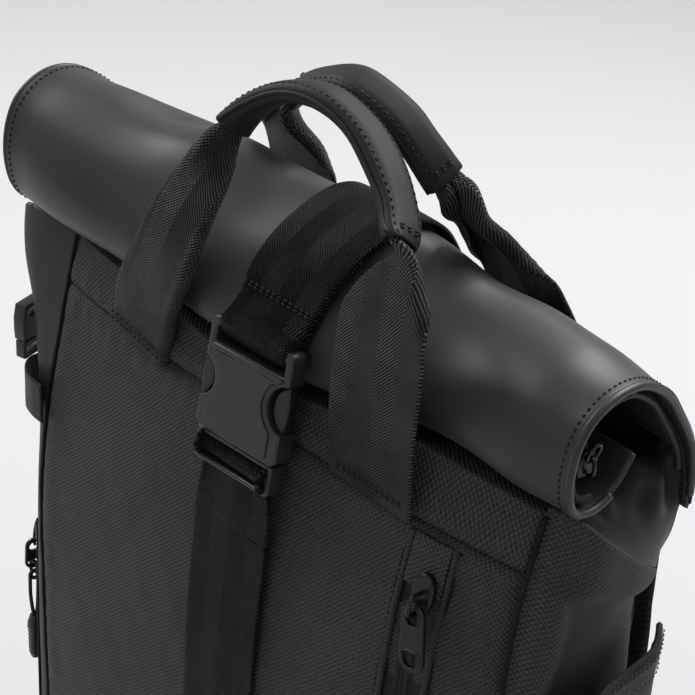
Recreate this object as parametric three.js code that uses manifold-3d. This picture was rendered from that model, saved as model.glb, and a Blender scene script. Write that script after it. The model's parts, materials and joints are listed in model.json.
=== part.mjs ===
// Rolltop backpack, millimetres, +Z up, X to the right seen from the front, Y to the back.
// The pack is drawn about the middle of the seam under the roll, then lifted so that the
// origin is the middle of the flat base. Every piece is a separate closed body.
import * as THREE from 'three';
import { mergeVertices } from 'three/addons/utils/BufferGeometryUtils.js';
import Module from 'manifold-3d';

const wasm = await Module();
wasm.setup();

// ---------------------------------------------------------------- driving dimensions
const SEAM_HEIGHT = 385;      // front seam above the base
const BASE_MID_Y = 39;        // middle of the base, behind the front seam
const CLOTH = 2.0;            // coated cloth wall
const GAP = 0.35;             // clearance between neighbouring pieces
const WEB = 38;               // wide webbing
const WEB_T = 1.8;            // webbing thickness
const BACK_Y = 84;            // inner face of the padded back
const BACK_PAD = 8;           // thickness of the padded back
const BASE_T = 3;             // base panel thickness
const FLOOR_Z = -SEAM_HEIGHT; // underside of the base
const WALL_Z = FLOOR_Z + BASE_T + GAP; // lower edge of the walls
const HALF_TOP = 121.2;       // half the front panel at the seam
const HALF_LOW = 130;         // half the front panel lower down
const GRIP_W = 15.4, GRIP_T = 8, GRIP_WALL = 1.5;

// ---------------------------------------------------------------- small helpers
const V = (x, y, z) => new THREE.Vector3(x, y, z);
const lerp = (a, b, t) => a + (b - a) * t;
const clamp = (v, a, b) => Math.min(b, Math.max(a, v));
const smooth = (t) => { t = clamp(t, 0, 1); return t * t * (3 - 2 * t); };

// value of column `col` in a table sorted by column `key`, Catmull-Rom between rows
function column(rows, key, col, at) {
  const n = rows.length;
  if (at <= rows[0][key]) return rows[0][col];
  if (at >= rows[n - 1][key]) return rows[n - 1][col];
  let i = 0;
  while (i < n - 2 && at > rows[i + 1][key]) i++;
  const p0 = rows[Math.max(i - 1, 0)], p1 = rows[i], p2 = rows[i + 1], p3 = rows[Math.min(i + 2, n - 1)];
  const t = (at - p1[key]) / (p2[key] - p1[key]), h = p2[key] - p1[key];
  const m1 = i > 0 ? (p2[col] - p0[col]) / (p2[key] - p0[key]) * h : p2[col] - p1[col];
  const m2 = i < n - 2 ? (p3[col] - p1[col]) / (p3[key] - p1[key]) * h : p2[col] - p1[col];
  const t2 = t * t, t3 = t2 * t;
  return (2 * t3 - 3 * t2 + 1) * p1[col] + (t3 - 2 * t2 + t) * m1 + (-2 * t3 + 3 * t2) * p2[col] + (t3 - t2) * m2;
}

function geometry(points, faces) {
  const pos = new Float32Array(points.length * 3);
  points.forEach((p, i) => { pos[3 * i] = p.x; pos[3 * i + 1] = p.y; pos[3 * i + 2] = p.z; });
  let vol = 0;
  for (const [a, b, c] of faces) vol += points[a].dot(V(0, 0, 0).crossVectors(points[b], points[c])) / 6;
  const index = [];
  for (const [a, b, c] of faces) vol > 0 ? index.push(a, b, c) : index.push(a, c, b);
  const g = new THREE.BufferGeometry();
  g.setAttribute('position', new THREE.BufferAttribute(pos, 3));
  g.setIndex(index);
  g.computeVertexNormals();
  return g;
}

// normals of a grid of points, by central differences
function gridNormals(P) {
  const n = P.length, m = P[0].length;
  return P.map((row, i) => row.map((p, j) => {
    const du = V(0, 0, 0).subVectors(P[Math.min(i + 1, n - 1)][j], P[Math.max(i - 1, 0)][j]);
    const dv = V(0, 0, 0).subVectors(P[i][Math.min(j + 1, m - 1)], P[i][Math.max(j - 1, 0)]);
    return V(0, 0, 0).crossVectors(du, dv).normalize();
  }));
}

// closed body between two grids of points of the same size
function between(A, B) {
  const n = A.length, m = A[0].length, pts = [...A.flat(), ...B.flat()], f = [];
  const a = (i, j) => i * m + j, b = (i, j) => n * m + i * m + j;
  const quad = (p, q, r, s) => f.push([p, q, r], [p, r, s]);
  for (let i = 0; i < n - 1; i++) for (let j = 0; j < m - 1; j++) {
    quad(a(i, j), a(i + 1, j), a(i + 1, j + 1), a(i, j + 1));
    quad(b(i, j), b(i, j + 1), b(i + 1, j + 1), b(i + 1, j));
  }
  for (let i = 0; i < n - 1; i++) {
    quad(a(i, 0), b(i, 0), b(i + 1, 0), a(i + 1, 0));
    quad(a(i, m - 1), a(i + 1, m - 1), b(i + 1, m - 1), b(i, m - 1));
  }
  for (let j = 0; j < m - 1; j++) {
    quad(a(0, j), a(0, j + 1), b(0, j + 1), b(0, j));
    quad(a(n - 1, j), b(n - 1, j), b(n - 1, j + 1), a(n - 1, j + 1));
  }
  return geometry(pts, f);
}

// a sheet of cloth: outer grid, wall t thick towards the point or line `inside` (null: any)
function towards(P, N, inside) {
  let sum = 0;
  P.forEach((row, i) => row.forEach((p, j) => {
    sum += N[i][j].dot(V(inside[0] === null ? 0 : inside[0] - p.x, inside[1] === null ? 0 : inside[1] - p.y, inside[2] === null ? 0 : inside[2] - p.z));
  }));
  return Math.sign(sum);
}
function sheet(P, t, inside) {
  const N = gridNormals(P), side = towards(P, N, inside);
  return between(P, P.map((row, i) => row.map((p, j) => p.clone().addScaledVector(N[i][j], side * t))));
}

// solid through closed rings of points, capped at both ends
function loft(rings) {
  const k = rings[0].length, n = rings.length, f = [];
  for (let i = 0; i < n - 1; i++) for (let j = 0; j < k; j++) {
    const a = i * k + j, b = i * k + (j + 1) % k, c = (i + 1) * k + (j + 1) % k, d = (i + 1) * k + j;
    f.push([a, b, c], [a, c, d]);
  }
  for (let j = 1; j < k - 1; j++) { f.push([0, j + 1, j]); f.push([(n - 1) * k, (n - 1) * k + j, (n - 1) * k + j + 1]); }
  return geometry(rings.flat(), f);
}

// open sleeve between outer and inner rings
function sleeve(outer, inner) {
  const k = outer[0].length, n = outer.length, f = [], o = n * k;
  for (let i = 0; i < n - 1; i++) for (let j = 0; j < k; j++) {
    const a = i * k + j, b = i * k + (j + 1) % k, c = (i + 1) * k + (j + 1) % k, d = (i + 1) * k + j;
    f.push([a, b, c], [a, c, d], [o + a, o + c, o + b], [o + a, o + d, o + c]);
  }
  for (const e of [0, n - 1]) for (let j = 0; j < k; j++) {
    const a = e * k + j, b = e * k + (j + 1) % k;
    e === 0 ? f.push([a, o + a, o + b], [a, o + b, b]) : f.push([a, b, o + b], [a, o + b, o + a]);
  }
  return geometry([...outer.flat(), ...inner.flat()], f);
}

// frames along a path table {x,y,z, wx,wy,wz}: width direction and face normal
function frames(rows) {
  const P = rows.map((r) => V(r.x, r.y, r.z));
  return P.map((p, i) => {
    const T = V(0, 0, 0).subVectors(P[Math.min(i + 1, P.length - 1)], P[Math.max(i - 1, 0)]).normalize();
    const W = V(rows[i].wx, rows[i].wy, rows[i].wz);
    W.addScaledVector(T, -W.dot(T)).normalize();
    return { p, W, N: V(0, 0, 0).crossVectors(T, W).normalize(), w: rows[i].w, t: rows[i].t };
  });
}
const flatRing = ({ p, W, N, w, t }) => [[-1, -1], [1, -1], [1, 1], [-1, 1]].map(([a, b]) =>
  p.clone().addScaledVector(W, a * w / 2).addScaledVector(N, b * t / 2));
const ribbon = (rows) => loft(frames(rows).map(flatRing));
function ovalRing({ p, W, N }, w, t, sides = 10) {
  const r = [];
  for (let i = 0; i < sides; i++) {
    const a = 2 * Math.PI * (i + 0.5) / sides, c = Math.cos(a), s = Math.sin(a);
    r.push(p.clone().addScaledVector(W, Math.sign(c) * Math.abs(c) ** 0.6 * w / 2).addScaledVector(N, Math.sign(s) * Math.abs(s) ** 0.6 * t / 2));
  }
  return r;
}
// one body out of overlapping closed geometries
function joined(...parts) {
  const solids = parts.map((g) => {
    g = g.clone();
    g.deleteAttribute('normal');
    if (g.attributes.uv) g.deleteAttribute('uv');
    g = mergeVertices(g, 1e-4);
    return new wasm.Manifold(new wasm.Mesh({ numProp: 3, vertProperties: new Float32Array(g.attributes.position.array), triVerts: new Uint32Array(g.index.array) }));
  });
  const mesh = solids.reduce((a, b) => a.add(b)).getMesh(), g = new THREE.BufferGeometry();
  g.setAttribute('position', new THREE.BufferAttribute(new Float32Array(mesh.vertProperties), 3));
  g.setIndex(Array.from(mesh.triVerts));
  g.computeVertexNormals();
  return g;
}
// a plate drawn in (u, v) and t thick, placed by its middle and two directions
function plate(outline, holes, t, at, u, v) {
  const s = new THREE.Shape(outline.map(([a, b]) => new THREE.Vector2(a, b)));
  for (const h of holes) s.holes.push(new THREE.Path(h.map(([a, b]) => new THREE.Vector2(a, b))));
  const g = new THREE.ExtrudeGeometry(s, { depth: t, bevelEnabled: false });
  g.translate(0, 0, -t / 2);
  const U = u.clone().normalize(), Vv = v.clone().addScaledVector(U, -v.dot(U)).normalize(), N = V(0, 0, 0).crossVectors(U, Vv);
  g.applyMatrix4(new THREE.Matrix4().makeBasis(U, Vv, N).setPosition(at));
  return g;
}
const ellipse = (cx, cy, rx, ry, n = 12, from = 0, to = 2 * Math.PI, closed = true) => {
  const r = [];
  for (let i = 0; i < (closed ? n : n + 1); i++) { const a = from + (to - from) * i / n; r.push([cx + rx * Math.cos(a), cy + ry * Math.sin(a)]); }
  return r;
};
const rect = (x0, y0, x1, y1) => [[x0, y0], [x1, y0], [x1, y1], [x0, y1]];
const roundRect = (w, h, r, cy = 0) => [
  ...ellipse(w / 2 - r, cy + h / 2 - r, r, r, 3, 0, Math.PI / 2, false), ...ellipse(-w / 2 + r, cy + h / 2 - r, r, r, 3, Math.PI / 2, Math.PI, false),
  ...ellipse(-w / 2 + r, cy - h / 2 + r, r, r, 3, Math.PI, 1.5 * Math.PI, false), ...ellipse(w / 2 - r, cy - h / 2 + r, r, r, 3, 1.5 * Math.PI, 2 * Math.PI, false)];

const pack = new THREE.Group();
pack.position.set(0, -BASE_MID_Y, SEAM_HEIGHT);
function add(name, geo, color, roughness, metalness = 0) {
  const m = new THREE.Mesh(geo, new THREE.MeshStandardMaterial({ color, roughness, metalness }));
  m.name = name;
  pack.add(m);
  return m;
}
const COATED = 0x37383b, CORDURA = 0x303134, WEBBING = 0x1d1e20, PLASTIC = 0x2b2c2f, HIDE = 0x26272a, PAD = 0x2a2b2e;

// ---------------------------------------------------------------- the body's surfaces
// profile of the front panel's middle, from the seam down
const FRONT_PROFILE = [
  { z: -385, y: 4 }, { z: -372, y: -1 }, { z: -345, y: -5 }, { z: -290, y: -8 }, { z: -220, y: -10 },
  { z: -160, y: -11 }, { z: -100, y: -11.36 }, { z: -60, y: -9.4 }, { z: -30, y: -5.6 }, { z: 0, y: 0 },
];
const crown = (x) => 5.17 * (x / 140) ** 2 + 6.83 * (x / 140) ** 4;
const frontY = (x, z) => crown(x) + (z > 0 ? 22 * z / 100 + 10.64 * (z / 100) ** 2 : column(FRONT_PROFILE, 'z', 'y', z));
const halfFront = (z) => HALF_TOP + (HALF_LOW - HALF_TOP) * smooth(-z / 130);

// plan section of a gusset from the front seam (f = 0) to the back edge (f = 1); right and left are
// shares of the bulge, fwd is how far the left gusset's front corner stands forward
const GUSSET_SECTION = [
  { f: 0, right: 0, left: 0, fwd: 0 }, { f: 0.04, right: 0.36, left: 0.72, fwd: 0.7 }, { f: 0.11, right: 0.68, left: 0.98, fwd: 1 },
  { f: 0.22, right: 0.92, left: 1, fwd: 0.5 }, { f: 0.38, right: 1, left: 0.98, fwd: 0 }, { f: 0.56, right: 0.98, left: 0.93, fwd: 0 },
  { f: 0.74, right: 0.82, left: 0.77, fwd: 0 }, { f: 0.89, right: 0.5, left: 0.46, fwd: 0 }, { f: 1, right: 0.2, left: 0.2, fwd: 0 },
];
// bulge of the gussets beyond the front seam, by height
const GUSSET_BULGE = [
  { z: -385, left: 5, right: 5 }, { z: -300, left: 10, right: 10 }, { z: -200, left: 8.5, right: 10.8 }, { z: -122, left: 6, right: 12 }, { z: -68, left: 7.5, right: 15 },
  { z: -26, left: 19.7, right: 16.5 }, { z: 0, left: 31, right: 16.5 }, { z: 30, left: 37, right: 15 },
];
const SEAM_GROOVE = 1.6;      // the gusset starts this far outside the front panel's edge
// height of the gusset's upper edge at depth y
const slant = (side, y) => (side > 0 ? 26.5 - 0.83 * (y - 14) : 22.5 - 0.78 * (y - 14));
const backInner = () => BACK_Y - GAP;
function gussetPoint(side, z, f) {
  const row = side > 0 ? 'right' : 'left', w = halfFront(z);
  const bulge = column(GUSSET_BULGE, 'z', row, z), y0 = frontY(w, z);
  const y = lerp(y0, backInner(z), f) - (side < 0 ? 0.16 * bulge * column(GUSSET_SECTION, 'f', 'fwd', f) : 0);
  const narrow = 2.6 * smooth((f - 0.75) / 0.25);  // the back edge tucks in
  return V(side * (w + SEAM_GROOVE + column(GUSSET_SECTION, 'f', row, f) * bulge - narrow * (w > 125 ? 1.5 : 1)), y, z);
}
const GUSSET_LEVELS = [0, 0.04, 0.12, 0.24, 0.4, 0.56, 0.7, 0.81, 0.9, 0.955, 1];
const GUSSET_CUTS = [0, 0.04, 0.11, 0.22, 0.38, 0.56, 0.74, 0.89, 1];
for (const side of [-1, 1]) {
  const grid = GUSSET_LEVELS.map((v) => GUSSET_CUTS.map((f) => {
    const top = slant(side, lerp(frontY(HALF_TOP, 20), BACK_Y, f)) - (f === 0 ? 3 : 0);
    return gussetPoint(side, lerp(WALL_Z, top, v), f);
  }));
  add(side < 0 ? 'left_gusset' : 'right_gusset', sheet(grid, CLOTH, [0, null, null]), side < 0 ? COATED : CORDURA, 0.8);
}

// front panel and yoke, both on the same surface
const FRONT_LEVELS = [WALL_Z, -372, -345, -290, -220, -160, -120, -80, -50, -22, -GAP / 2];
const ACROSS = [-1, -0.86, -0.66, -0.4, -0.15, 0.15, 0.4, 0.66, 0.86, 1];
add('front_panel', sheet(FRONT_LEVELS.map((z) => ACROSS.map((s) => {
  const x = s * (halfFront(z) - GAP); return V(x, frontY(x, z), z);
})), CLOTH, [null, 60, null]), CORDURA, 0.85);

// height of the roll's lower edge along the pack
const ROLL_LOWER = [{ x: -150, z: 26 }, { x: -90, z: 24 }, { x: -45, z: 22.5 }, { x: 0, z: 20 }, { x: 30, z: 22.5 }, { x: 69, z: 28.5 }, { x: 100, z: 28 }, { x: 131, z: 25 }];
const rollLower = (x) => column(ROLL_LOWER, 'x', 'z', x);
add('yoke_panel', sheet([0, 0.33, 0.66, 1].map((v) => ACROSS.map((s) => {
  const x = s * (HALF_TOP - GAP), z = lerp(GAP / 2, rollLower(x) - 3.4, v);
  return V(x, frontY(x, z), z);
})), CLOTH, [null, 60, null]), CORDURA, 0.85);

// ---------------------------------------------------------------- base and padded back
{
  const outline = [];
  for (let i = 0; i <= 10; i++) { const x = lerp(-1, 1, i / 10) * HALF_LOW; outline.push([x, frontY(x, FLOOR_Z)]); }
  for (const f of GUSSET_CUTS.slice(1)) { const p = gussetPoint(1, FLOOR_Z, f); outline.push([p.x, p.y]); }
  for (const f of [...GUSSET_CUTS].reverse().slice(0, -1)) { const p = gussetPoint(-1, FLOOR_Z, f); outline.push([p.x, p.y]); }
  const g = plate(outline, [], BASE_T, V(0, 0, FLOOR_Z + BASE_T / 2), V(1, 0, 0), V(0, 1, 0));
  add('base_panel', g, CORDURA, 0.85);
}
// padded back: half width, outer face and thickness, by height
const BACK_TABLE = [
  { z: -385, half: 129, outer: 90, pad: 6 }, { z: -372, half: 129.5, outer: 92, pad: 8 }, { z: -200, half: 129.5, outer: 92, pad: 8 },
  { z: -80, half: 127, outer: 92, pad: 8 }, { z: -40, half: 124, outer: 91.5, pad: 7.5 }, { z: -20, half: 124, outer: 90.5, pad: 6.2 }, { z: -4, half: 128, outer: 88.5, pad: 3.6 },
];
const BACK_LEVELS = [WALL_Z, -372, -280, -180, -90, -50, -25, -4];
{
  const face = (inner) => BACK_LEVELS.map((z) => [-1, -0.93, -0.5, 0, 0.5, 0.93, 1].map((s) => {
    const half = column(BACK_TABLE, 'z', 'half', z), outer = column(BACK_TABLE, 'z', 'outer', z), pad = column(BACK_TABLE, 'z', 'pad', z);
    const edge = Math.abs(s) === 1 ? 0.45 : 1;
    return V(s * half, outer - pad + GAP + (inner ? 0 : (pad - GAP) * edge), z);
  }));
  add('back_panel', between(face(false), face(true)), PAD, 0.9);
}

// ---------------------------------------------------------------- the roll
// outer layer of the roll, section by section from the back over the top to the front and in
// again; columns are y and z at the left end (l), the middle (c) and the right end (r)
const ROLL_SECTION = [
  { ly: 80, lz: -3.5, cy: 87, cz: -3.5, ry: 87, rz: -3.5 },
  { ly: 77, lz: 16, cy: 86.5, cz: 13, ry: 85.5, rz: 11 },
  { ly: 72, lz: 34, cy: 84, cz: 30, ry: 81.5, rz: 24.5 },
  { ly: 66, lz: 48, cy: 79, cz: 44, ry: 76, rz: 34 },
  { ly: 58, lz: 59, cy: 73, cz: 55, ry: 69, rz: 43.5 },
  { ly: 49, lz: 68, cy: 66, cz: 64, ry: 60, rz: 55 },
  { ly: 40, lz: 74.5, cy: 57, cz: 70, ry: 51.5, rz: 62 },
  { ly: 31, lz: 78.5, cy: 47, cz: 72.3, ry: 43, rz: 66.5 },
  { ly: 21, lz: 79, cy: 36, cz: 70, ry: 34.5, rz: 68.7 },
  { ly: 12, lz: 76, cy: 26, cz: 65.5, ry: 26, rz: 69 },
  { ly: 5, lz: 70, cy: 17, cz: 60, ry: 19, rz: 67 },
  { ly: 1, lz: 61, cy: 10.5, cz: 53.5, ry: 13, rz: 62.5 },
  { ly: -0.6, lz: 51, cy: 6, cz: 46, ry: 9.5, rz: 56 },
  { ly: 0, lz: 42, cy: 3.5, cz: 38, ry: 8.2, rz: 48 },
  { ly: 2.5, lz: 34, cy: 3, cz: 29.5, ry: 8.8, rz: 40 },
  { ly: 7, lz: 28, cy: 6, cz: 22.5, ry: 12, rz: 31.5 },
  { ly: 14, lz: 26, cy: 14, cz: 20, ry: 18, rz: 26.5 },
  { ly: 23, lz: 27, cy: 26, cz: 22, ry: 28, rz: 25 },
  { ly: 32, lz: 31, cy: 37, cz: 28, ry: 38, rz: 29 },
  { ly: 39, lz: 38, cy: 45, cz: 37, ry: 45, rz: 37 },
];
const ROLL_LEFT = -150, ROLL_RIGHT = 131, ROLL_AXIS = [null, 42, 45];
function rollPoint(row, x) {
  const t = x < 0 ? -x / ROLL_LEFT : x / ROLL_RIGHT, r = ROLL_SECTION[row];
  const a = t * (t - 1) / 2, b = 1 - t * t, c = t * (t + 1) / 2;
  const y = a * r.ly + b * r.cy + c * r.ry;
  let z = a * r.lz + b * r.cz + c * r.rz;
  // the lower edge follows its own line along the pack
  const low = a * 26 + b * 20 + c * 26.5, share = smooth(1 - Math.abs(row - 15.5) / 3.5);
  z += (rollLower(x) - low) * share;
  return V(x, y, z);
}
const ROLL_X = [-150, -120, -85, -45, -15, 15, 45, 80, 108, 131];
{
  const P = ROLL_X.map((x) => ROLL_SECTION.map((_, i) => rollPoint(i, x)));
  add('roll_outer', sheet(P, CLOTH, ROLL_AXIS), COATED, 0.6);
  // the front neck layer, wound inside
  const N = gridNormals(P), into = towards(P, N, ROLL_AXIS), rows = [3, 4, 5, 6, 7, 8, 9, 10, 11, 12, 13, 14, 15];
  const inner = P.map((row, i) => rows.map((k) => row[k].clone().addScaledVector(N[i][k], 5.2 * into)));
  add('roll_inner', sheet(inner, CLOTH, ROLL_AXIS), COATED, 0.65);
}

// ---------------------------------------------------------------- folded tops of the gussets
// rows from the gusset's upper edge inwards: distance from the middle, depth and height
const GUSSET_TOP_ROWS = {
  right: [
    [[127, 24, 22.5], [130, 35, 13.5], [130, 52, 6], [129, 68, -1], [126, 81, -8]],
    [[116, 26, 19.5], [116, 38, 16], [116, 52, 15], [117, 66, 12], [119, 79, 4]],
  ],
  left: [
    [[135, 24, 19.5], [138.5, 35, 11.5], [138, 50, 4], [134, 66, -2], [129, 79, -9]],
    [[124, 26, 17.5], [124, 38, 14], [122, 50, 13], [121, 64, 10], [120, 77, 3]],
  ],
};
for (const side of [-1, 1]) {
  const rows = GUSSET_TOP_ROWS[side < 0 ? 'left' : 'right'].map((row) => row.map(([x, y, z]) => V(side * x, y, z)));
  rows.unshift([0.14, 0.3, 0.52, 0.76, 0.95].map((f) => {
    const y = lerp(frontY(HALF_TOP, 20), BACK_Y, f), p = gussetPoint(side, slant(side, y), f);
    return V(p.x - side * 2.0, p.y, slant(side, y) + 3.4);
  }));
  add(side < 0 ? 'left_gusset_top' : 'right_gusset_top', sheet(rows, 1.5, [0, 45, -60]), COATED, 0.65);
}

// ---------------------------------------------------------------- handles
// webbing path: middle of the webbing, its width direction, width and thickness
const FRONT_HANDLE = [
  { x: -65.5, y: -1.3, z: 1.0, wx: 1, wy: -0.01, wz: 0, w: 29, t: 1.8 },
  { x: -62, y: -3.0, z: 14, wx: 1, wy: 0, wz: 0, w: 30, t: 1.8 },
  { x: -55.5, y: -5.8, z: 30, wx: 1, wy: 0, wz: 0, w: 30, t: 2.2 },
  { x: -47, y: -6.0, z: 50, wx: 1, wy: 0.05, wz: 0, w: 28, t: 2.2 },
  { x: -43, y: -1.5, z: 68, wx: 1, wy: 0.25, wz: 0.1, w: 24, t: 2.6 },
  { x: -40, y: 8.5, z: 84, wx: 0.8, wy: 0.6, wz: 0.2, w: 17, t: 3.2 },
  { x: -37.5, y: 17.5, z: 98, wx: 0.3, wy: 1, wz: 0, w: 9.4, t: 2.4 },
  { x: -29, y: 22.3, z: 109.5, wx: 0.1, wy: 1, wz: -0.1, w: 9.4, t: 2.4 },
  { x: -14, y: 23.5, z: 118.5, wx: 0, wy: 1, wz: -0.2, w: 9.4, t: 2.4 },
  { x: 3, y: 23.5, z: 121.5, wx: 0, wy: 1, wz: -0.2, w: 9.4, t: 2.4 },
  { x: 20, y: 22.5, z: 117.5, wx: 0, wy: 1, wz: -0.2, w: 9.4, t: 2.4 },
  { x: 35, y: 19, z: 109, wx: -0.1, wy: 1, wz: -0.1, w: 9.4, t: 2.4 },
  { x: 46.5, y: 13.5, z: 101, wx: -0.3, wy: 1, wz: 0, w: 9.4, t: 2.4 },
  { x: 54, y: 7, z: 95, wx: 0.4, wy: -1, wz: -0.1, w: 9.4, t: 2.2 },
  { x: 57.5, y: 1, z: 87.5, wx: 1, wy: -0.25, wz: -0.2, w: 20, t: 3 },
  { x: 59.5, y: -3.6, z: 74, wx: 1, wy: -0.05, wz: 0, w: 35.5, t: WEB_T },
  { x: 60, y: -4.8, z: 52, wx: 1, wy: 0, wz: 0, w: WEB, t: WEB_T },
  { x: 59.5, y: -4.6, z: 32, wx: 1, wy: 0, wz: 0, w: WEB, t: WEB_T },
  { x: 59, y: -2.6, z: 14, wx: 1, wy: 0, wz: 0, w: WEB, t: WEB_T },
  { x: 59, y: -1.0, z: 1.0, wx: 1, wy: -0.02, wz: 0, w: WEB, t: WEB_T },
];
const BACK_HANDLE = [
  { x: -59, y: 93.6, z: -14, wx: 1, wy: 0, wz: 0, w: WEB, t: WEB_T },
  { x: -59, y: 91.4, z: 2, wx: 1, wy: 0, wz: 0, w: WEB, t: WEB_T },
  { x: -64, y: 88.5, z: 28, wx: 1, wy: 0, wz: 0, w: WEB, t: WEB_T },
  { x: -64, y: 81, z: 52, wx: 1, wy: -0.05, wz: 0, w: WEB, t: WEB_T },
  { x: -57, y: 70, z: 72, wx: 1, wy: -0.2, wz: 0.3, w: 33, t: 2.2 },
  { x: -49, y: 60, z: 88, wx: 0.8, wy: -0.5, wz: 0.4, w: 22, t: 3 },
  { x: -40, y: 52, z: 101, wx: -0.3, wy: 1, wz: 0.2, w: 9.4, t: 2.4 },
  { x: -26, y: 47, z: 111.5, wx: -0.1, wy: 1, wz: 0.2, w: 9.4, t: 2.4 },
  { x: -10, y: 45, z: 118.5, wx: 0, wy: 1, wz: 0.2, w: 9.4, t: 2.4 },
  { x: 4, y: 45, z: 118, wx: 0, wy: 1, wz: 0.2, w: 9.4, t: 2.4 },
  { x: 16, y: 46, z: 113, wx: 0, wy: 1, wz: 0.2, w: 9.4, t: 2.4 },
  { x: 24.5, y: 48, z: 105.5, wx: 0.1, wy: 1, wz: 0.2, w: 9.4, t: 2.4 },
  { x: 32.5, y: 52, z: 95.5, wx: 0.3, wy: 1, wz: 0.2, w: 9.4, t: 2.4 },
  { x: 38.5, y: 58.5, z: 85.5, wx: -0.8, wy: 0.5, wz: -0.4, w: 17, t: 3 },
  { x: 43.5, y: 67.5, z: 74.5, wx: -1, wy: 0.2, wz: -0.3, w: 25, t: 2.4 },
  { x: 51, y: 79.5, z: 54, wx: -1, wy: 0, wz: 0, w: WEB, t: WEB_T },
  { x: 59, y: 88, z: 29, wx: -1, wy: 0, wz: 0, w: WEB, t: WEB_T },
  { x: 59, y: 91.4, z: 2, wx: -1, wy: 0, wz: 0, w: WEB, t: WEB_T },
  { x: 59, y: 93.6, z: -14, wx: -1, wy: 0, wz: 0, w: WEB, t: WEB_T },
];
// turn the width direction so that neighbouring rows never flip
function steady(rows) {
  let last = null;
  return rows.map((r) => {
    const q = { ...r };
    if (last && last.wx * q.wx + last.wy * q.wy + last.wz * q.wz < 0) { q.wx *= -1; q.wy *= -1; q.wz *= -1; }
    last = q;
    return q;
  });
}
function handle(name, table, from, to) {
  const rows = steady(table);
  add(name + '_webbing', ribbon(rows), WEBBING, 0.55);
  const fr = frames(rows).slice(from, to + 1);
  add(name + '_grip', sleeve(fr.map((f) => ovalRing(f, GRIP_W, GRIP_T)), fr.map((f) => ovalRing(f, GRIP_W - 2 * GRIP_WALL, GRIP_T - 2 * GRIP_WALL))), HIDE, 0.5);
}
handle('front_handle', FRONT_HANDLE, 6, 13);
handle('back_handle', BACK_HANDLE, 6, 12);

// ---------------------------------------------------------------- closing strap and buckle
// buckle frame: middle of the socket's front face, leaning back with the roll; u across, v up
const BUCKLE_AT = V(3.4, -11.3, 14), BUCKLE_U = V(0.998, 0.02, 0.03), BUCKLE_V = V(0, 0.193, 0.981);
const B_HALF = 20.5, B_T = 8.4, B_TOP = 27, B_SPLIT = -17, B_LOW = -29.5, SLOT_HALF = 17.2;
const frameAt = (a, b, c) => {
  const U = BUCKLE_U.clone().normalize(), Vv = BUCKLE_V.clone().addScaledVector(U, -BUCKLE_V.dot(U)).normalize(), N = V(0, 0, 0).crossVectors(U, Vv);
  return BUCKLE_AT.clone().addScaledVector(U, a).addScaledVector(Vv, b).addScaledVector(N, c);
};
const deg = Math.PI / 180;
{
  // socket half, with the webbing slot at its top and a finger cut at each side
  const cutR = ellipse(21.5, 5.2, 9.5, 9.5, 8, 264 * deg, 96 * deg, false), cutL = ellipse(-23, 3, 8.5, 8.5, 6, 73 * deg, -73 * deg, false);
  const out = [[-18.5, B_SPLIT], [18.5, B_SPLIT], [B_HALF, -14.5], ...cutR, [B_HALF, B_TOP - 3], [B_HALF - 3, B_TOP], [3 - B_HALF, B_TOP], [-B_HALF, B_TOP - 3], ...cutL, [-B_HALF, -14.5]];
  add('buckle_female', plate(out, [rect(-SLOT_HALF, 17.3, SLOT_HALF, 23.4).reverse()], B_T, frameAt(0, 0, -B_T / 2), BUCKLE_U, BUCKLE_V), PLASTIC, 0.5);
  // plug half, its lower frame with a bar across the middle
  const plug = [[-19.3, B_LOW + 2], [-17.3, B_LOW], [17.3, B_LOW], [19.3, B_LOW + 2], [19.3, B_SPLIT - GAP], [-19.3, B_SPLIT - GAP]];
  add('buckle_male', plate(plug, [rect(-16.8, -21.6, 16.8, -18.4).reverse(), rect(-16.8, -27.6, 16.8, -24.4).reverse()], 7, frameAt(0, 0, -B_T / 2), BUCKLE_U, BUCKLE_V), PLASTIC, 0.5);
}
// upper webbing: from above the buckle over the roll and down the back; doubled to its cross seam
const STRAP_UPPER = [
  { x: 3.4, y: -1.0, z: 42.9, wx: 1, wy: 0, wz: 0.03, w: 34, t: 3.2 },
  { x: 3.4, y: 2.2, z: 47.4, wx: 1, wy: 0, wz: 0.02, w: 34.5, t: 3.2 },
  { x: 3.4, y: 8.0, z: 55.8, wx: 1, wy: 0, wz: 0, w: 35.5, t: 3.2 },
  { x: 3.6, y: 14.8, z: 62.6, wx: 1, wy: 0, wz: 0, w: 36, t: 3.0 },
  { x: 3.8, y: 24.3, z: 68.5, wx: 1, wy: 0, wz: 0, w: 36.5, t: WEB_T },
  { x: 4.0, y: 35.5, z: 73.2, wx: 1, wy: 0, wz: 0, w: 37, t: WEB_T },
  { x: 4.0, y: 47.3, z: 75.2, wx: 1, wy: 0, wz: 0, w: 37, t: WEB_T },
  { x: 4.0, y: 58.5, z: 72.9, wx: 1, wy: 0, wz: 0, w: 37, t: WEB_T },
  { x: 4.0, y: 68.5, z: 66.3, wx: 1, wy: 0, wz: 0, w: 37, t: WEB_T },
  { x: 4.0, y: 76.3, z: 56.5, wx: 1, wy: 0, wz: 0, w: 37, t: WEB_T },
  { x: 4.0, y: 82.8, z: 44, wx: 1, wy: 0, wz: 0, w: 37, t: WEB_T },
  { x: 4.0, y: 87.6, z: 28, wx: 1, wy: 0, wz: 0, w: 37, t: WEB_T },
  { x: 4.0, y: 90.2, z: 6, wx: 1, wy: 0, wz: 0, w: 37, t: WEB_T },
  { x: 4.0, y: 93.9, z: -18, wx: 1, wy: 0, wz: 0, w: 37, t: WEB_T },
];
add('strap_upper', ribbon(STRAP_UPPER), WEBBING, 0.55);
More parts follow.
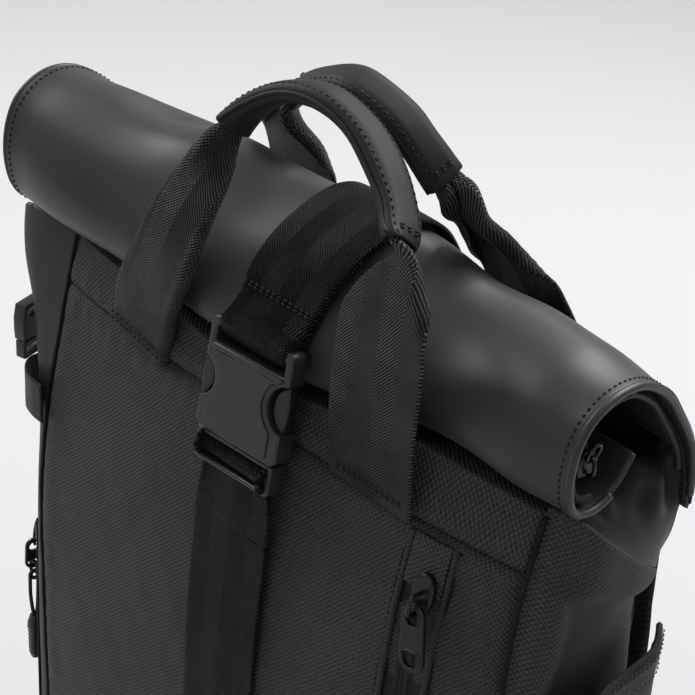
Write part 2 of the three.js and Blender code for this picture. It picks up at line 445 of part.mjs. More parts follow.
// lower webbing: off the buckle, then flat on the front panel to the base seam
const STRAP_LOWER = [
  { z: -17.4, lift: 9.0, x: 3.2 }, { z: -26, lift: 7.4, x: 2.8 }, { z: -40, lift: 4.4, x: 2.0 }, { z: -58, lift: 2.4, x: 1.0 }, { z: -80, lift: 1.55, x: 0.3 },
  { z: -120, lift: 1.45, x: 0 }, { z: -200, lift: 1.5, x: 0 }, { z: -290, lift: 1.5, x: 0 }, { z: -345, lift: 1.6, x: 0 }, { z: -368, lift: 1.7, x: 0 },
];
add('strap_lower', ribbon(STRAP_LOWER.map((r) => ({ x: r.x, y: frontY(0, r.z) - r.lift, z: r.z, wx: 1, wy: 0, wz: 0, w: WEB, t: WEB_T }))), WEBBING, 0.55);

// ---------------------------------------------------------------- front pocket zip
const ZIP_LEFT = 79.4, ZIP_RIGHT = 96.4, ZIP_TOP = -2.5, ZIP_LOW = -330;
const ZIP_LEVELS = [ZIP_LOW, -290, -240, -190, -150, -110, -75, -45, -20, ZIP_TOP];
const strip = (x0, x1, lift, t, levels = ZIP_LEVELS) => between(
  levels.map((z) => [x0, x1].map((x) => V(x, frontY(x, z) - lift - t, z))),
  levels.map((z) => [x0, x1].map((x) => V(x, frontY(x, z) - lift, z))));
add('zip_welt_left', strip(ZIP_LEFT - 2.4, ZIP_LEFT + 1.2, GAP, 2.0), CORDURA, 0.85);
add('zip_welt_right', strip(ZIP_RIGHT - 1.2, ZIP_RIGHT + 2.4, GAP, 2.0), CORDURA, 0.85);
add('zip_tape', strip(ZIP_LEFT + 1.6, ZIP_RIGHT - 1.6, GAP, 0.9), COATED, 0.6);
const ZIP_X = 90.2, PIVOT_Z = -25, PIVOT_LIFT = 6.9;
const faceDir = (z) => V(0, frontY(ZIP_X, z + 6) - frontY(ZIP_X, z - 6), 12).normalize();
const onFace = (z, lift) => V(ZIP_X, frontY(ZIP_X, z) - lift, z);
const ACROSS_X = V(1, 0, 0), ALONG = faceDir(PIVOT_Z), OFF = V(0, 0, 0).crossVectors(ACROSS_X, ALONG);
const PIVOT = onFace(PIVOT_Z, 0).addScaledVector(OFF, PIVOT_LIFT);   // axis of the pull tab
{
  // slider body with its bail: an arch, seen from the side, that the pull tab hangs on
  const body = plate([[-3.6, -8.5], [3.6, -8.5], [4.6, -1], [4.2, 5], [2, 7.5], [-2, 7.5], [-4.2, 5], [-4.6, -1]], [], 3.0, PIVOT.clone().addScaledVector(ALONG, 3.6).addScaledVector(OFF, -3.6), ACROSS_X, ALONG);
  const arch = [[-4.6, -2.6], [-4.6, 2.4], [-3.4, 3.7], [3.9, 3.7], [5.1, 2.4], [5.1, -2.6], [3.6, -2.6], [3.6, 2.15], [-2.9, 2.15], [-2.9, -2.6]];
  const bail = plate(arch.slice().reverse().map(([a, b]) => [b, a]), [], 1.8, PIVOT, OFF, ALONG);
  add('zip_slider', joined(body, bail), PLASTIC, 0.35, 0.4);
}
{
  // pull tab: round hole on the bail, wide hole at the grip end; v is measured down from the pivot
  const out = [...ellipse(0, -4.2, 5, 5.2, 8, 0, Math.PI, false), ...ellipse(0, -19.6, 5.4, 5, 8, Math.PI, 2 * Math.PI, false)];
  const top = ellipse(0, -4.25, 3, 3.25, 12).reverse();
  const low = [...ellipse(0, -19.8, 3.4, 3, 6, Math.PI, 2 * Math.PI, false), [3.4, -17.4], [-3.4, -17.4]].reverse();
  add('zip_pull', plate(out, [top, low], 1.7, PIVOT, ACROSS_X, ALONG), PLASTIC, 0.4, 0.3);
}

// ---------------------------------------------------------------- left side: small buckle, zip, cord
{
  const LX = -145.2;
  add('side_loop', ribbon([
    { x: -124.5, y: -4.2, z: -57, wx: 0, wy: 0, wz: 1, w: 18, t: 1.6 }, { x: -131.5, y: -3.6, z: -57, wx: 0, wy: 0, wz: 1, w: 18, t: 1.6 },
    { x: -139, y: -1, z: -57, wx: 0, wy: 0, wz: 1, w: 18, t: 1.6 }, { x: -144.8, y: 5, z: -57, wx: 0, wy: 0, wz: 1, w: 18, t: 1.6 },
    { x: -145.2, y: 13, z: -57, wx: 0, wy: 0, wz: 1, w: 18, t: 1.6 },
  ]), WEBBING, 0.55);
  const u = V(-0.25, 0.97, 0), v = V(0, 0, 1), mid = V(LX - 2.4, 8, -33);
  add('side_buckle_male', plate([...rect(-7.5, -14, 7.5, -5)], [rect(-5.6, -11.5, 5.6, -8.6).reverse()], 5, mid, u, v), PLASTIC, 0.5);
  add('side_buckle_female', plate([[-7.5, -4.6], [7.5, -4.6], [8, 6], [6.5, 12], [-6.5, 12], [-8, 6]], [rect(-4.4, 6.6, 4.4, 9.4).reverse()], 6, mid, u, v), PLASTIC, 0.5);

  const ZX = -143.4;
  add('side_zip_slider', plate([[-3, -5.5], [3, -5.5], [3.6, 4], [1.6, 6], [-1.6, 6], [-3.6, 4]], [], 3, V(ZX, 8.6, -140), V(0, 1, 0), V(0, 0, 1)), PLASTIC, 0.35, 0.4);
  const pu = V(0.2, 0.98, 0);
  add('side_zip_pull', plate([...ellipse(0, 4.6, 4, 4, 8, 0, Math.PI, false), ...ellipse(0, -4.6, 4.4, 3.6, 8, Math.PI, 2 * Math.PI, false)],
    [ellipse(0, 4.2, 2.3, 2.3, 8).reverse(), rect(-3.1, -5.8, 3.1, -3.4).reverse()], 1.6, V(ZX - 2.8, 5.4, -155), pu, V(0, 0, 1)), PLASTIC, 0.4, 0.3);
  // two strands of cord from the pull down to the moulded grip
  const cord = [];
  for (const [y, z] of [[4.6, -191.5], [3.7, -186], [3.0, -178], [3.2, -171], [4.4, -166.4], [5.5, -165.2], [6.6, -166.4], [7.4, -171], [7.2, -178], [6.8, -186], [6.2, -191.5]]) cord.push(V(ZX - 2.8, y, z));
  const curve = new THREE.CatmullRomCurve3(cord), hex = new THREE.Shape(ellipse(0, 0, 0.9, 0.9, 8).map(([a, b]) => new THREE.Vector2(a, b)));
  add('side_zip_cord', new THREE.ExtrudeGeometry(hex, { steps: 28, bevelEnabled: false, extrudePath: curve }), WEBBING, 0.6);
  const ring = (z, w, t) => ellipse(0, 0, w / 2, t / 2, 8).map(([a, b]) => V(ZX - 2.8 + b, 5.4 + a, z));
  add('side_zip_grip', loft([ring(-217, 5, 4), ring(-214, 6.4, 4.6), ring(-202, 6.8, 5), ring(-196, 7.6, 5.2), ring(-191.9, 5, 4)]), PLASTIC, 0.5);
}

// ---------------------------------------------------------------- right side: open bottle pocket
{
  const cols = [0.16, 0.3, 0.46, 0.62, 0.78, 0.93], HEM = 12, hemTop = (f) => lerp(-54, -48, f);
  const rows = [-360, -300, -220, -140, -92, null];   // null: just under the hem
  const P = rows.map((level) => cols.map((f, j) => {
    const z = level === null ? hemTop(f) - HEM - 0.5 : level;
    const p = gussetPoint(1, z, f), stand = (j === 0 ? 2.2 : j < 5 ? 9 : z > -100 ? 8 : 4) * (z < -340 ? 0.35 : 1) + 0.8;
    return V(p.x + 0.4 + stand, p.y, z);
  }));
  add('side_pocket', sheet(P, 1.6, [0, null, null]), CORDURA, 0.85);
  const hem = [HEM, 0].map((d) => cols.map((f, j) => {
    const z = hemTop(f) - d, p = gussetPoint(1, z, f); return V(p.x + 0.4 + (j === 0 ? 3.0 : j === 5 ? 8.9 : 9.9), p.y, z);
  }));
  add('side_pocket_hem', sheet(hem, 2.4, [0, null, null]), WEBBING, 0.6);
}

// ---------------------------------------------------------------- end of the mouth's zip, in the open right end
{
  add('mouth_zip_tape', ribbon([
    { x: 103, y: 25, z: 52, wx: 0, wy: 1, wz: 0.3, w: 12, t: 1.2 }, { x: 112, y: 25, z: 49.5, wx: 0.1, wy: 1, wz: 0.3, w: 12, t: 1.2 },
    { x: 119, y: 24.5, z: 46, wx: 0.2, wy: 1, wz: 0.2, w: 11, t: 1.2 }, { x: 121.5, y: 25.5, z: 40, wx: 0.2, wy: 1, wz: 0, w: 9, t: 1.2 },
  ]), WEBBING, 0.6);
  add('mouth_zip_slider', plate([[-3.6, -5], [3.6, -5], [4.4, 2], [2.6, 5.5], [-2.6, 5.5], [-4.4, 2]], [], 3, V(125.4, 25, 40), V(0.2, 1, 0), V(0.1, 0, 1)), PLASTIC, 0.35, 0.4);
}

// ---------------------------------------------------------------- shoulder straps, plain, on the back
const SHOULDER = [
  { y: 98.2, z: -22, x: 44, w: 50, t: 8 }, { y: 102, z: -38, x: 47, w: 56, t: 9 }, { y: 110, z: -64, x: 53, w: 62, t: 10 }, { y: 118, z: -110, x: 61, w: 64, t: 10 },
  { y: 120, z: -160, x: 70, w: 62, t: 10 }, { y: 116, z: -210, x: 78, w: 56, t: 9 }, { y: 110, z: -250, x: 85, w: 42, t: 8 },
];
for (const side of [-1, 1]) {
  const tag = side < 0 ? 'left' : 'right';
  const rows = SHOULDER.map((r) => ({ x: side * r.x, y: r.y, z: r.z, wx: 1, wy: 0, wz: 0, w: r.w, t: r.t }));
  add('shoulder_strap_' + tag, loft(frames(rows).map((f) => ovalRing(f, f.w, f.t, 10))), PAD, 0.9);
  add('strap_adjuster_' + tag, plate(roundRect(32, 24, 3), [rect(-13, 3, 13, 7).reverse(), rect(-13, -7, 13, -3).reverse()], 4, V(side * 88, 107.5, -264.5), V(side, 0, 0).multiplyScalar(side), V(0, 0.12, 1)), PLASTIC, 0.5);
  add('strap_webbing_' + tag, ribbon([
    { x: side * 90, y: 105.4, z: -279.2, wx: 1, wy: 0, wz: 0, w: 25, t: 1.8 }, { x: side * 96, y: 102, z: -305, wx: 1, wy: 0, wz: 0, w: 25, t: 1.8 },
    { x: side * 103, y: 97, z: -335, wx: 1, wy: 0, wz: 0, w: 25, t: 1.8 }, { x: side * 108, y: 93.8, z: -358, wx: 1, wy: 0, wz: 0, w: 25, t: 1.8 },
  ]), WEBBING, 0.55);
}

export default pack;
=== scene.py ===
"""Rolltop backpack: the looks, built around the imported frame. Metres, +Z up, +Y to the back.
Tables are in millimetres about the middle of the front seam, as in the CAD; row() lifts them."""
import json
import math

import bpy
import numpy as np
from mathutils import Matrix, Vector


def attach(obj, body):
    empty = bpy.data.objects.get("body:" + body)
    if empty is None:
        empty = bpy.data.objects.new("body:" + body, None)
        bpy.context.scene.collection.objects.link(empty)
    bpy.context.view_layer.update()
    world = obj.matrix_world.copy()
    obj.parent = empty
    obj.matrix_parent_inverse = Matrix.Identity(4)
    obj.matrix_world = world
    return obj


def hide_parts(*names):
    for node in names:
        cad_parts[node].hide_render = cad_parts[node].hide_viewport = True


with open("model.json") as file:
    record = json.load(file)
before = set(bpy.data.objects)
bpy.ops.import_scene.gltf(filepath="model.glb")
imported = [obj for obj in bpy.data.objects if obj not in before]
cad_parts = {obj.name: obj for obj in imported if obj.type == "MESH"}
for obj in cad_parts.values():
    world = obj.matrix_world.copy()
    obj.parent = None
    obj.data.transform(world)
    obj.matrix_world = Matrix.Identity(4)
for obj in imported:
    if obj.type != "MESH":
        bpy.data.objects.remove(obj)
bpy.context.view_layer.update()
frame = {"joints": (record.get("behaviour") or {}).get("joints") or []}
LIFT = np.array([0.0, -39.0, 385.0])


def row(p):
    return (np.asarray(p, float) + LIFT) / 1000.0


# ------------------------------------------------------------------ camera and stage
def basis(az, el, roll):
    a, e, r = map(math.radians, (az, el, roll))
    R = np.array([math.cos(a), math.sin(a), 0.0])
    F = np.array([-math.sin(a) * math.cos(e), math.cos(a) * math.cos(e), -math.sin(e)])
    U = np.cross(R, F)
    return math.cos(r) * R + math.sin(r) * U, -math.sin(r) * R + math.cos(r) * U, F


X, Y, F = basis(42.35, 31.98, 5.0)
cam_data = bpy.data.cameras.new("camera")
cam = bpy.data.objects.new("camera", cam_data)
bpy.context.scene.collection.objects.link(cam)
m = Matrix.Identity(4)
for i in range(3):
    m[i][0], m[i][1], m[i][2] = X[i], Y[i], -F[i]
m[0][3], m[1][3], m[2][3] = 0.37694, -0.40660, 0.74769
cam.matrix_world = m
cam_data.sensor_width = 36.0
cam_data.lens = 90.99
cam_data.clip_start = 0.02
cam_data.clip_end = 30.0
bpy.context.scene.camera = cam
bpy.context.scene.view_settings.view_transform = "Standard"


# ------------------------------------------------------------------ material helpers
class Mat:
    def __init__(self, name, color, rough, spec=0.5, metal=0.0, sheen=0.0):
        self.m = bpy.data.materials.new(name)
        self.m.use_nodes = True
        self.nt = self.m.node_tree
        self.b = self.nt.nodes["Principled BSDF"]
        self.b.inputs["Base Color"].default_value = (*color, 1)
        self.b.inputs["Roughness"].default_value = rough
        self.b.inputs["Specular IOR Level"].default_value = spec
        self.b.inputs["Metallic"].default_value = metal
        if sheen:
            self.b.inputs["Sheen Weight"].default_value = sheen
            self.b.inputs["Sheen Roughness"].default_value = 0.4
        self.color = color

    def node(self, kind, **props):
        n = self.nt.nodes.new(kind)
        for k, v in props.items():
            setattr(n, k, v)
        return n

    def put(self, socket, value):
        if isinstance(value, bpy.types.NodeSocket):
            self.nt.links.new(value, socket)
        else:
            socket.default_value = value

    def math(self, op, a, b=None, c=None):
        n = self.node("ShaderNodeMath", operation=op)
        self.put(n.inputs[0], a)
        if b is not None:
            self.put(n.inputs[1], b)
        if c is not None:
            self.put(n.inputs[2], c)
        return n.outputs[0]

    def uv(self):
        n = self.node("ShaderNodeUVMap", uv_map="Weave")
        s = self.node("ShaderNodeSeparateXYZ")
        self.nt.links.new(n.outputs[0], s.inputs[0])
        return s.outputs[0], s.outputs[1]

    def place(self):
        return self.node("ShaderNodeTexCoord").outputs["Object"]

    def noise(self, scale, detail=2.0, rough=0.5, at=None):
        n = self.node("ShaderNodeTexNoise")
        n.inputs["Scale"].default_value = scale
        n.inputs["Detail"].default_value = detail
        n.inputs["Roughness"].default_value = rough
        self.nt.links.new(at or self.place(), n.inputs["Vector"])
        return n.outputs["Fac"]

    def bump(self, height, distance, strength=1.0, normal=None):
        n = self.node("ShaderNodeBump")
        n.inputs["Distance"].default_value = distance
        n.inputs["Strength"].default_value = strength
        self.put(n.inputs["Height"], height)
        if normal is not None:
            self.nt.links.new(normal, n.inputs["Normal"])
        return n.outputs[0]

    def shade(self, fac, lo, hi):
        """Base colour times a factor that runs from lo to hi with fac."""
        n = self.node("ShaderNodeMapRange")
        self.put(n.inputs["Value"], fac)
        n.inputs["To Min"].default_value = lo
        n.inputs["To Max"].default_value = hi
        v = self.node("ShaderNodeVectorMath", operation="SCALE")
        v.inputs[0].default_value = self.color
        self.nt.links.new(n.outputs[0], v.inputs["Scale"])
        self.nt.links.new(v.outputs[0], self.b.inputs["Base Color"])
        return n.outputs[0]

    def rough(self, fac, lo, hi):
        n = self.node("ShaderNodeMapRange")
        self.put(n.inputs["Value"], fac)
        n.inputs["To Min"].default_value = lo
        n.inputs["To Max"].default_value = hi
        self.nt.links.new(n.outputs[0], self.b.inputs["Roughness"])

    def done(self, normal):
        self.nt.links.new(normal, self.b.inputs["Normal"])
        return self.m


def cordura(name, color, pitch=1.3, depth=0.00028, rough=0.72, contrast=(0.5, 1.45)):
    M = Mat(name, color, rough, 0.22)
    u, v = M.uv()
    wob = M.noise(60, 2)
    wu = M.math("MULTIPLY_ADD", wob, 1.2, u)
    wv = M.math("MULTIPLY_ADD", M.noise(75, 2), 1.2, v)
    a = M.math("MULTIPLY", wu, math.pi / pitch)
    b = M.math("MULTIPLY", wv, math.pi / pitch)
    sa, sb = M.math("SINE", a), M.math("SINE", b)
    s = M.math("MULTIPLY", sa, sb)
    over = M.math("MULTIPLY_ADD", s, 0.5, 0.5)
    h = M.math("POWER", over, 1.7)
    fibre = M.noise(2200, 3, 0.7)
    h = M.math("MULTIPLY_ADD", fibre, 0.35, h)
    patch = M.noise(900, 2, 0.6)
    # Colour: the weave height h paints thread tops lighter as painted highlight and the gaps darker as painted shade;
    # the patch noise is a random tone of the cloth
    weave_shade_and_tone = M.math("ADD", M.math("MULTIPLY", h, 0.8), M.math("MULTIPLY", M.math("SUBTRACT", patch, 0.4), 0.7))
    M.shade(weave_shade_and_tone, *contrast)
    M.rough(patch, rough - 0.12, rough + 0.1)
    n = M.bump(h, depth, 1.0)
    return M.done(M.bump(M.noise(18, 3), 0.0012, 0.35, n))


def coated(name, color, rough=0.5, fine=0.00003, soft=0.0016):
    M = Mat(name, color, rough, 0.42 if color[0] > 0.02 else 0.2, sheen=0.05)
    u, v = M.uv()
    sa = M.math("SINE", M.math("MULTIPLY", u, math.pi / 0.55))
    sb = M.math("SINE", M.math("MULTIPLY", v, math.pi / 0.55))
    h = M.math("MULTIPLY_ADD", M.math("MULTIPLY", sa, sb), 0.35, M.noise(1500, 2, 0.6))
    cloud = M.noise(9, 3, 0.55)
    # Colour: a random cloudy tone, plus a little weave height that paints the ribs lighter and the hollows darker as
    # painted shade
    M.shade(M.math("ADD", M.math("MULTIPLY", cloud, 0.7), M.math("MULTIPLY", h, 0.3)), 0.84, 1.16)
    M.rough(cloud, rough - 0.06, rough + 0.08)
    n = M.bump(h, fine, 0.8)
    return M.done(M.bump(M.noise(14, 2, 0.4), soft, 0.5, n))


def webbing(name, color, pitch=1.25, half=19.0, strips=4, rough=0.36, glint_peak=9.0, spec=0.2):
    """Herringbone: ribs that lean one way and then the other in strips across the width. The colour is painted light:
    rib crests bright as painted glints, in runs, and the gaps dark as painted shade.
    """
    M = Mat(name, color, rough, spec)
    u, v = M.uv()
    strip = 2 * half / strips
    tri = M.math("PINGPONG", M.math("ADD", u, 100 * strip), strip)
    lean = M.math("MULTIPLY_ADD", tri, 1.1, v)
    jit = M.noise(240, 2)
    lean = M.math("MULTIPLY_ADD", jit, 0.8, lean)
    rib = M.math("ABSOLUTE", M.math("SINE", M.math("MULTIPLY", lean, math.pi / pitch)))
    yarn = M.math("ABSOLUTE", M.math("SINE", M.math("MULTIPLY", M.math("MULTIPLY_ADD", lean, 0.35, u), math.pi / 0.8)))
    h = M.math("MULTIPLY", M.math("POWER", rib, 1.5), M.math("MULTIPLY_ADD", yarn, 0.6, 0.4))
    fibre = M.noise(3000, 2, 0.7)
    h = M.math("MULTIPLY", h, M.math("MULTIPLY_ADD", fibre, 0.5, 0.75))
    lot = M.noise(420, 2, 0.6)
    # painted glints on the rib crests, in runs set by noise, up to the peak factor times the base colour; low values
    # paint the gaps as shade
    painted_glint = M.math("POWER", h, 1.6)
    run = M.math("POWER", M.noise(55, 3, 0.6), 2.0)
    M.shade(M.math("MULTIPLY", painted_glint, M.math("MULTIPLY_ADD", run, 2.6, 0.3)), 0.1, glint_peak)
    M.rough(lot, rough - 0.1, rough + 0.16)
    n = M.bump(h, 0.0006, 1.0)
    return M.done(M.bump(M.noise(40, 2), 0.0008, 0.3, n))


def plastic(name, color, rough=0.42, grain=0.00006, scale=2600):
    M = Mat(name, color, rough, 0.5)
    g = M.noise(scale, 2, 0.6)
    wear = M.noise(160, 3, 0.6)
    M.shade(wear, 0.85, 1.15)
    M.rough(wear, rough - 0.06, rough + 0.08)
    return M.done(M.bump(g, grain, 0.9))


def hide(name, color, rough=0.42):
    M = Mat(name, color, rough, 0.27)
    vor = M.node("ShaderNodeTexVoronoi")
    vor.inputs["Scale"].default_value = 1100
    M.nt.links.new(M.place(), vor.inputs["Vector"])
    g = M.math("MULTIPLY_ADD", M.noise(500, 3), 0.6, vor.outputs["Distance"])
    wear = M.noise(40, 3)
    M.shade(wear, 0.8, 1.2)
    M.rough(wear, rough - 0.08, rough + 0.1)
    return M.done(M.bump(g, 0.00006, 0.6))


def mesh_cloth(name, color, pitch=3.0):
    """Padded air mesh: rows of small holes, painted darker as painted shade in the holes."""
    M = Mat(name, color, 0.85, 0.3, sheen=0.15)
    u, v = M.uv()
    a = M.math("SINE", M.math("MULTIPLY", u, 2 * math.pi / pitch))
    b = M.math("SINE", M.math("MULTIPLY", v, 2 * math.pi / pitch))
    cell = M.math("MULTIPLY_ADD", M.math("MULTIPLY", a, b), 0.5, 0.5)
    h = M.math("MULTIPLY_ADD", M.noise(1800, 2), 0.3, cell)
    # colour darker in the hole cells: painted shade inside the holes
    M.shade(h, 0.45, 1.35)
    return M.done(M.bump(h, 0.0005, 0.9))


def thread_mat(name, color):
    M = Mat(name, color, 0.45, 0.3)
    w = M.noise(3500, 2)
    M.shade(w, 0.7, 1.4)
    return M.done(M.bump(w, 0.00008, 0.8))


MAT = {
    "coated": coated("coated_cloth", (0.026, 0.0265, 0.0285), 0.43),
    "coated_left": coated("coated_side", (0.021, 0.0214, 0.023), 0.5),
    # the gusset cloth made much darker for the folded gusset tops, inner rim and back piping in the roll's open end:
    # painted shade in that hollow
    "coated_shaded_mouth": coated("coated_gusset_shaded", (0.0075, 0.0077, 0.0084), 0.5),
    "lining": coated("inside_cloth", (0.006, 0.0062, 0.0068), 0.5, 0.00003, 0.003),
    "cordura": cordura("cordura_panel", (0.026, 0.0265, 0.0283), 1.05, 0.0005, 0.6, (0.06, 2.9)),
    "cordura_fine": cordura("fine_weave", (0.022, 0.0224, 0.024), 0.9, 0.0003, 0.55, (0.3, 2.2)),
    "webbing": webbing("webbing_38", (0.0050, 0.0051, 0.0056), 1.35, glint_peak=24.0, spec=0.14),
    # a darker, less shiny copy of the same webbing for the closing strap: painted shade where it faces away from the
    # lamps
    "webbing_painted_shade": webbing("webbing_38_shaded", (0.0032, 0.0033, 0.0037), 1.35, glint_peak=11.0, spec=0.06),
    "webbing_small": webbing("webbing_narrow", (0.0070, 0.0071, 0.0078), 1.1, 9.0, 2),
    "piping": webbing("piping_tape", (0.006, 0.0061, 0.0068), 0.9, 3.0, 2, 0.5),
    "plastic": plastic("moulded_plastic", (0.023, 0.0234, 0.025), 0.36),
    # the buckle plastic made darker for the prongs seen in the socket's finger cuts: painted shade in those recesses
    "plastic_painted_shade": plastic("buckle_plastic_in_shade", (0.007, 0.0072, 0.0078), 0.4),
    "hide": hide("grip_hide", (0.0115, 0.0118, 0.0128), 0.6),
    "pad": mesh_cloth("padded_mesh", (0.018, 0.0183, 0.0197)),
    "thread": thread_mat("thread", (0.010, 0.0102, 0.0112)),
    "tape": cordura("zip_tape_cloth", (0.0065, 0.0067, 0.0074), 0.6, 0.00012, 0.5, (0.5, 1.8)),
    "metal": plastic("zip_metal_satin", (0.030, 0.0305, 0.033), 0.3, 0.00002, 1200),
    "cord": thread_mat("braided_cord", (0.009, 0.0092, 0.0102)),
}
MAT["metal"].node_tree.nodes["Principled BSDF"].inputs["Metallic"].default_value = 0.75


# ------------------------------------------------------------------ mesh helpers
def cr(xs, ys, at):
    """Catmull-Rom through a table, as in the CAD."""
    xs, ys, at = np.asarray(xs, float), np.asarray(ys, float), np.asarray(at, float)
    a = np.clip(at, xs[0], xs[-1])
    i = np.clip(np.searchsorted(xs, a, side="left") - 1, 0, len(xs) - 2)
    sl = np.empty_like(ys)
    sl[1:-1] = ((ys[2:] - ys[:-2]).T / (xs[2:] - xs[:-2])).T
    sl[0], sl[-1] = (ys[1] - ys[0]) / (xs[1] - xs[0]), (ys[-1] - ys[-2]) / (xs[-1] - xs[-2])
    h = xs[i + 1] - xs[i]
    t = (a - xs[i]) / h
    if ys.ndim == 2:
        h, t = h[..., None], t[..., None]
    t2, t3 = t * t, t * t * t
    return (2 * t3 - 3 * t2 + 1) * ys[i] + (t3 - 2 * t2 + t) * sl[i] * h + (-2 * t3 + 3 * t2) * ys[i + 1] + (t3 - t2) * sl[i + 1] * h


def smooth(t):
    t = np.clip(t, 0, 1)
    return t * t * (3 - 2 * t)


def unit(v):
    return v / np.maximum(np.linalg.norm(v, axis=-1, keepdims=True), 1e-9)


def ripple(p, seed, wave, amp, n=7):
    """Soft uneven waves: a sum of plane waves with seeded directions."""
    r = np.random.default_rng(seed)
    out = np.zeros(p.shape[:-1])
    for _ in range(n):
        k = r.normal(size=3)
        k /= np.linalg.norm(k) * wave * r.uniform(0.6, 1.6) / (2 * math.pi)
        out += np.sin(p @ k + r.uniform(0, 6.28))
    return out * amp / math.sqrt(n)


def make(name, verts, faces, mat, uv=None, body="pack", replaces=(), flat_angle=None):
    me = bpy.data.meshes.new(name)
    me.from_pydata(row(verts).tolist(), [], [list(map(int, f)) for f in faces])
    me.validate()
    if uv is not None:
        layer = me.uv_layers.new(name="Weave")
        idx = np.zeros(len(me.loops), np.int32)
        me.loops.foreach_get("vertex_index", idx)
        layer.data.foreach_set("uv", np.asarray(uv, np.float32)[idx].ravel())
    me.polygons.foreach_set("use_smooth", [True] * len(me.polygons))
    if flat_angle:
        me.set_sharp_from_angle(angle=math.radians(flat_angle))
    me.materials.append(MAT[mat])
    o = bpy.data.objects.new(name, me)
    bpy.context.scene.collection.objects.link(o)
    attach(o, body)
    if replaces:
        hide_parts(*([replaces] if isinstance(replaces, str) else replaces))
    return o


def normals(P):
    du = np.gradient(P, axis=0)
    dv = np.gradient(P, axis=1)
    return unit(np.cross(du, dv))


def arcs(P):
    """Length along the cloth in both directions, measured from the middle row and column."""
    n, k = P.shape[:2]
    c, r = k // 2, n // 2
    across = np.r_[0, np.cumsum(np.linalg.norm(np.diff(P[r], axis=0), axis=1))]
    along = np.r_[0, np.cumsum(np.linalg.norm(np.diff(P[:, c], axis=0), axis=1))]
    U = np.tile(across - across[c], (n, 1))
    V = np.tile((along - along[r])[:, None], (1, k))
    return np.stack([U, V], -1)


def closed(A, B, mid=None):
    """Verts and faces of the body between two grids, with a rounded rim."""
    n, k = A.shape[:2]
    v = [A.reshape(-1, 3), B.reshape(-1, 3)]
    ia = np.arange(n * k).reshape(n, k)
    ib = ia + n * k
    f = []

    def quads(g, flip):
        q = np.stack([g[:-1, :-1], g[1:, :-1], g[1:, 1:], g[:-1, 1:]], -1).reshape(-1, 4)
        return q[:, ::-1] if flip else q

    f.append(quads(ia, False))
    f.append(quads(ib, True))
    loop = [(0, j) for j in range(k)] + [(i, k - 1) for i in range(1, n)] + [(n - 1, j) for j in range(k - 2, -1, -1)] + [(i, 0) for i in range(n - 2, 0, -1)]
    li = np.array(loop)
    la, lb = ia[li[:, 0], li[:, 1]], ib[li[:, 0], li[:, 1]]
    inner = np.array([(min(max(i, 1), n - 2), min(max(j, 1), k - 2)) for i, j in loop])
    pa = A[li[:, 0], li[:, 1]]
    pb = B[li[:, 0], li[:, 1]]
    out = unit(pa - A[inner[:, 0], inner[:, 1]]) * (np.linalg.norm(pa - pb, axis=1) * 0.45)[:, None]
    lm = np.arange(len(loop)) + 2 * n * k
    v.append((pa + pb) / 2 + out)
    nx = np.roll(np.arange(len(loop)), -1)
    f.append(np.stack([la, la[nx], lm[nx], lm], -1))
    f.append(np.stack([lm, lm[nx], lb[nx], lb], -1))
    verts, faces = np.concatenate(v), np.concatenate(f)
    t = verts[faces]
    vol = np.einsum("ij,ij->i", t[:, 0], np.cross(t[:, 1], t[:, 2])).sum() + np.einsum("ij,ij->i", t[:, 0], np.cross(t[:, 2], t[:, 3])).sum()
    if vol < 0:
        faces = faces[:, ::-1]
    return verts, faces, li


def sheet(name, P, t, inside, mat, replaces=(), body="pack", uv=None, outer_shift=0.0):
    """A wall of cloth t thick from the face P towards the point inside (None: any)."""
    P = np.asarray(P, float)
    N = normals(P)
    d = np.array([np.nan if c is None else c for c in inside], float) - P
    side = np.sign(np.nansum(N * d))
    A = P - N * side * outer_shift
    B = P + N * side * t
    verts, faces, li = closed(A, B)
    if uv is None:
        uv = arcs(P)
    U = uv.reshape(-1, 2)
    uvs = np.concatenate([U, U, uv[li[:, 0], li[:, 1]]])
    return make(name, verts, faces, mat, uvs, body, replaces)


def path_frames(pts, up=None):
    pts = np.asarray(pts, float)
    T = unit(np.gradient(pts, axis=0))
    if up is None:
        n = np.cross(T[0], [0, 0, 1.0])
        if np.linalg.norm(n) < 0.2:
            n = np.cross(T[0], [0, 1.0, 0])
        N = [n / np.linalg.norm(n)]
        for i in range(1, len(pts)):
            q = N[-1] - T[i] * (N[-1] @ T[i])
            N.append(q / np.linalg.norm(q))
        N = np.array(N)
    else:
        N = unit(up - T * np.sum(up * T, 1, keepdims=True))
    return T, N, np.cross(T, N)


def refine(pts, per):
    pts = np.asarray(pts, float)
    at = np.linspace(0, len(pts) - 1, (len(pts) - 1) * per + 1)
    return cr(np.arange(len(pts)), pts, at)


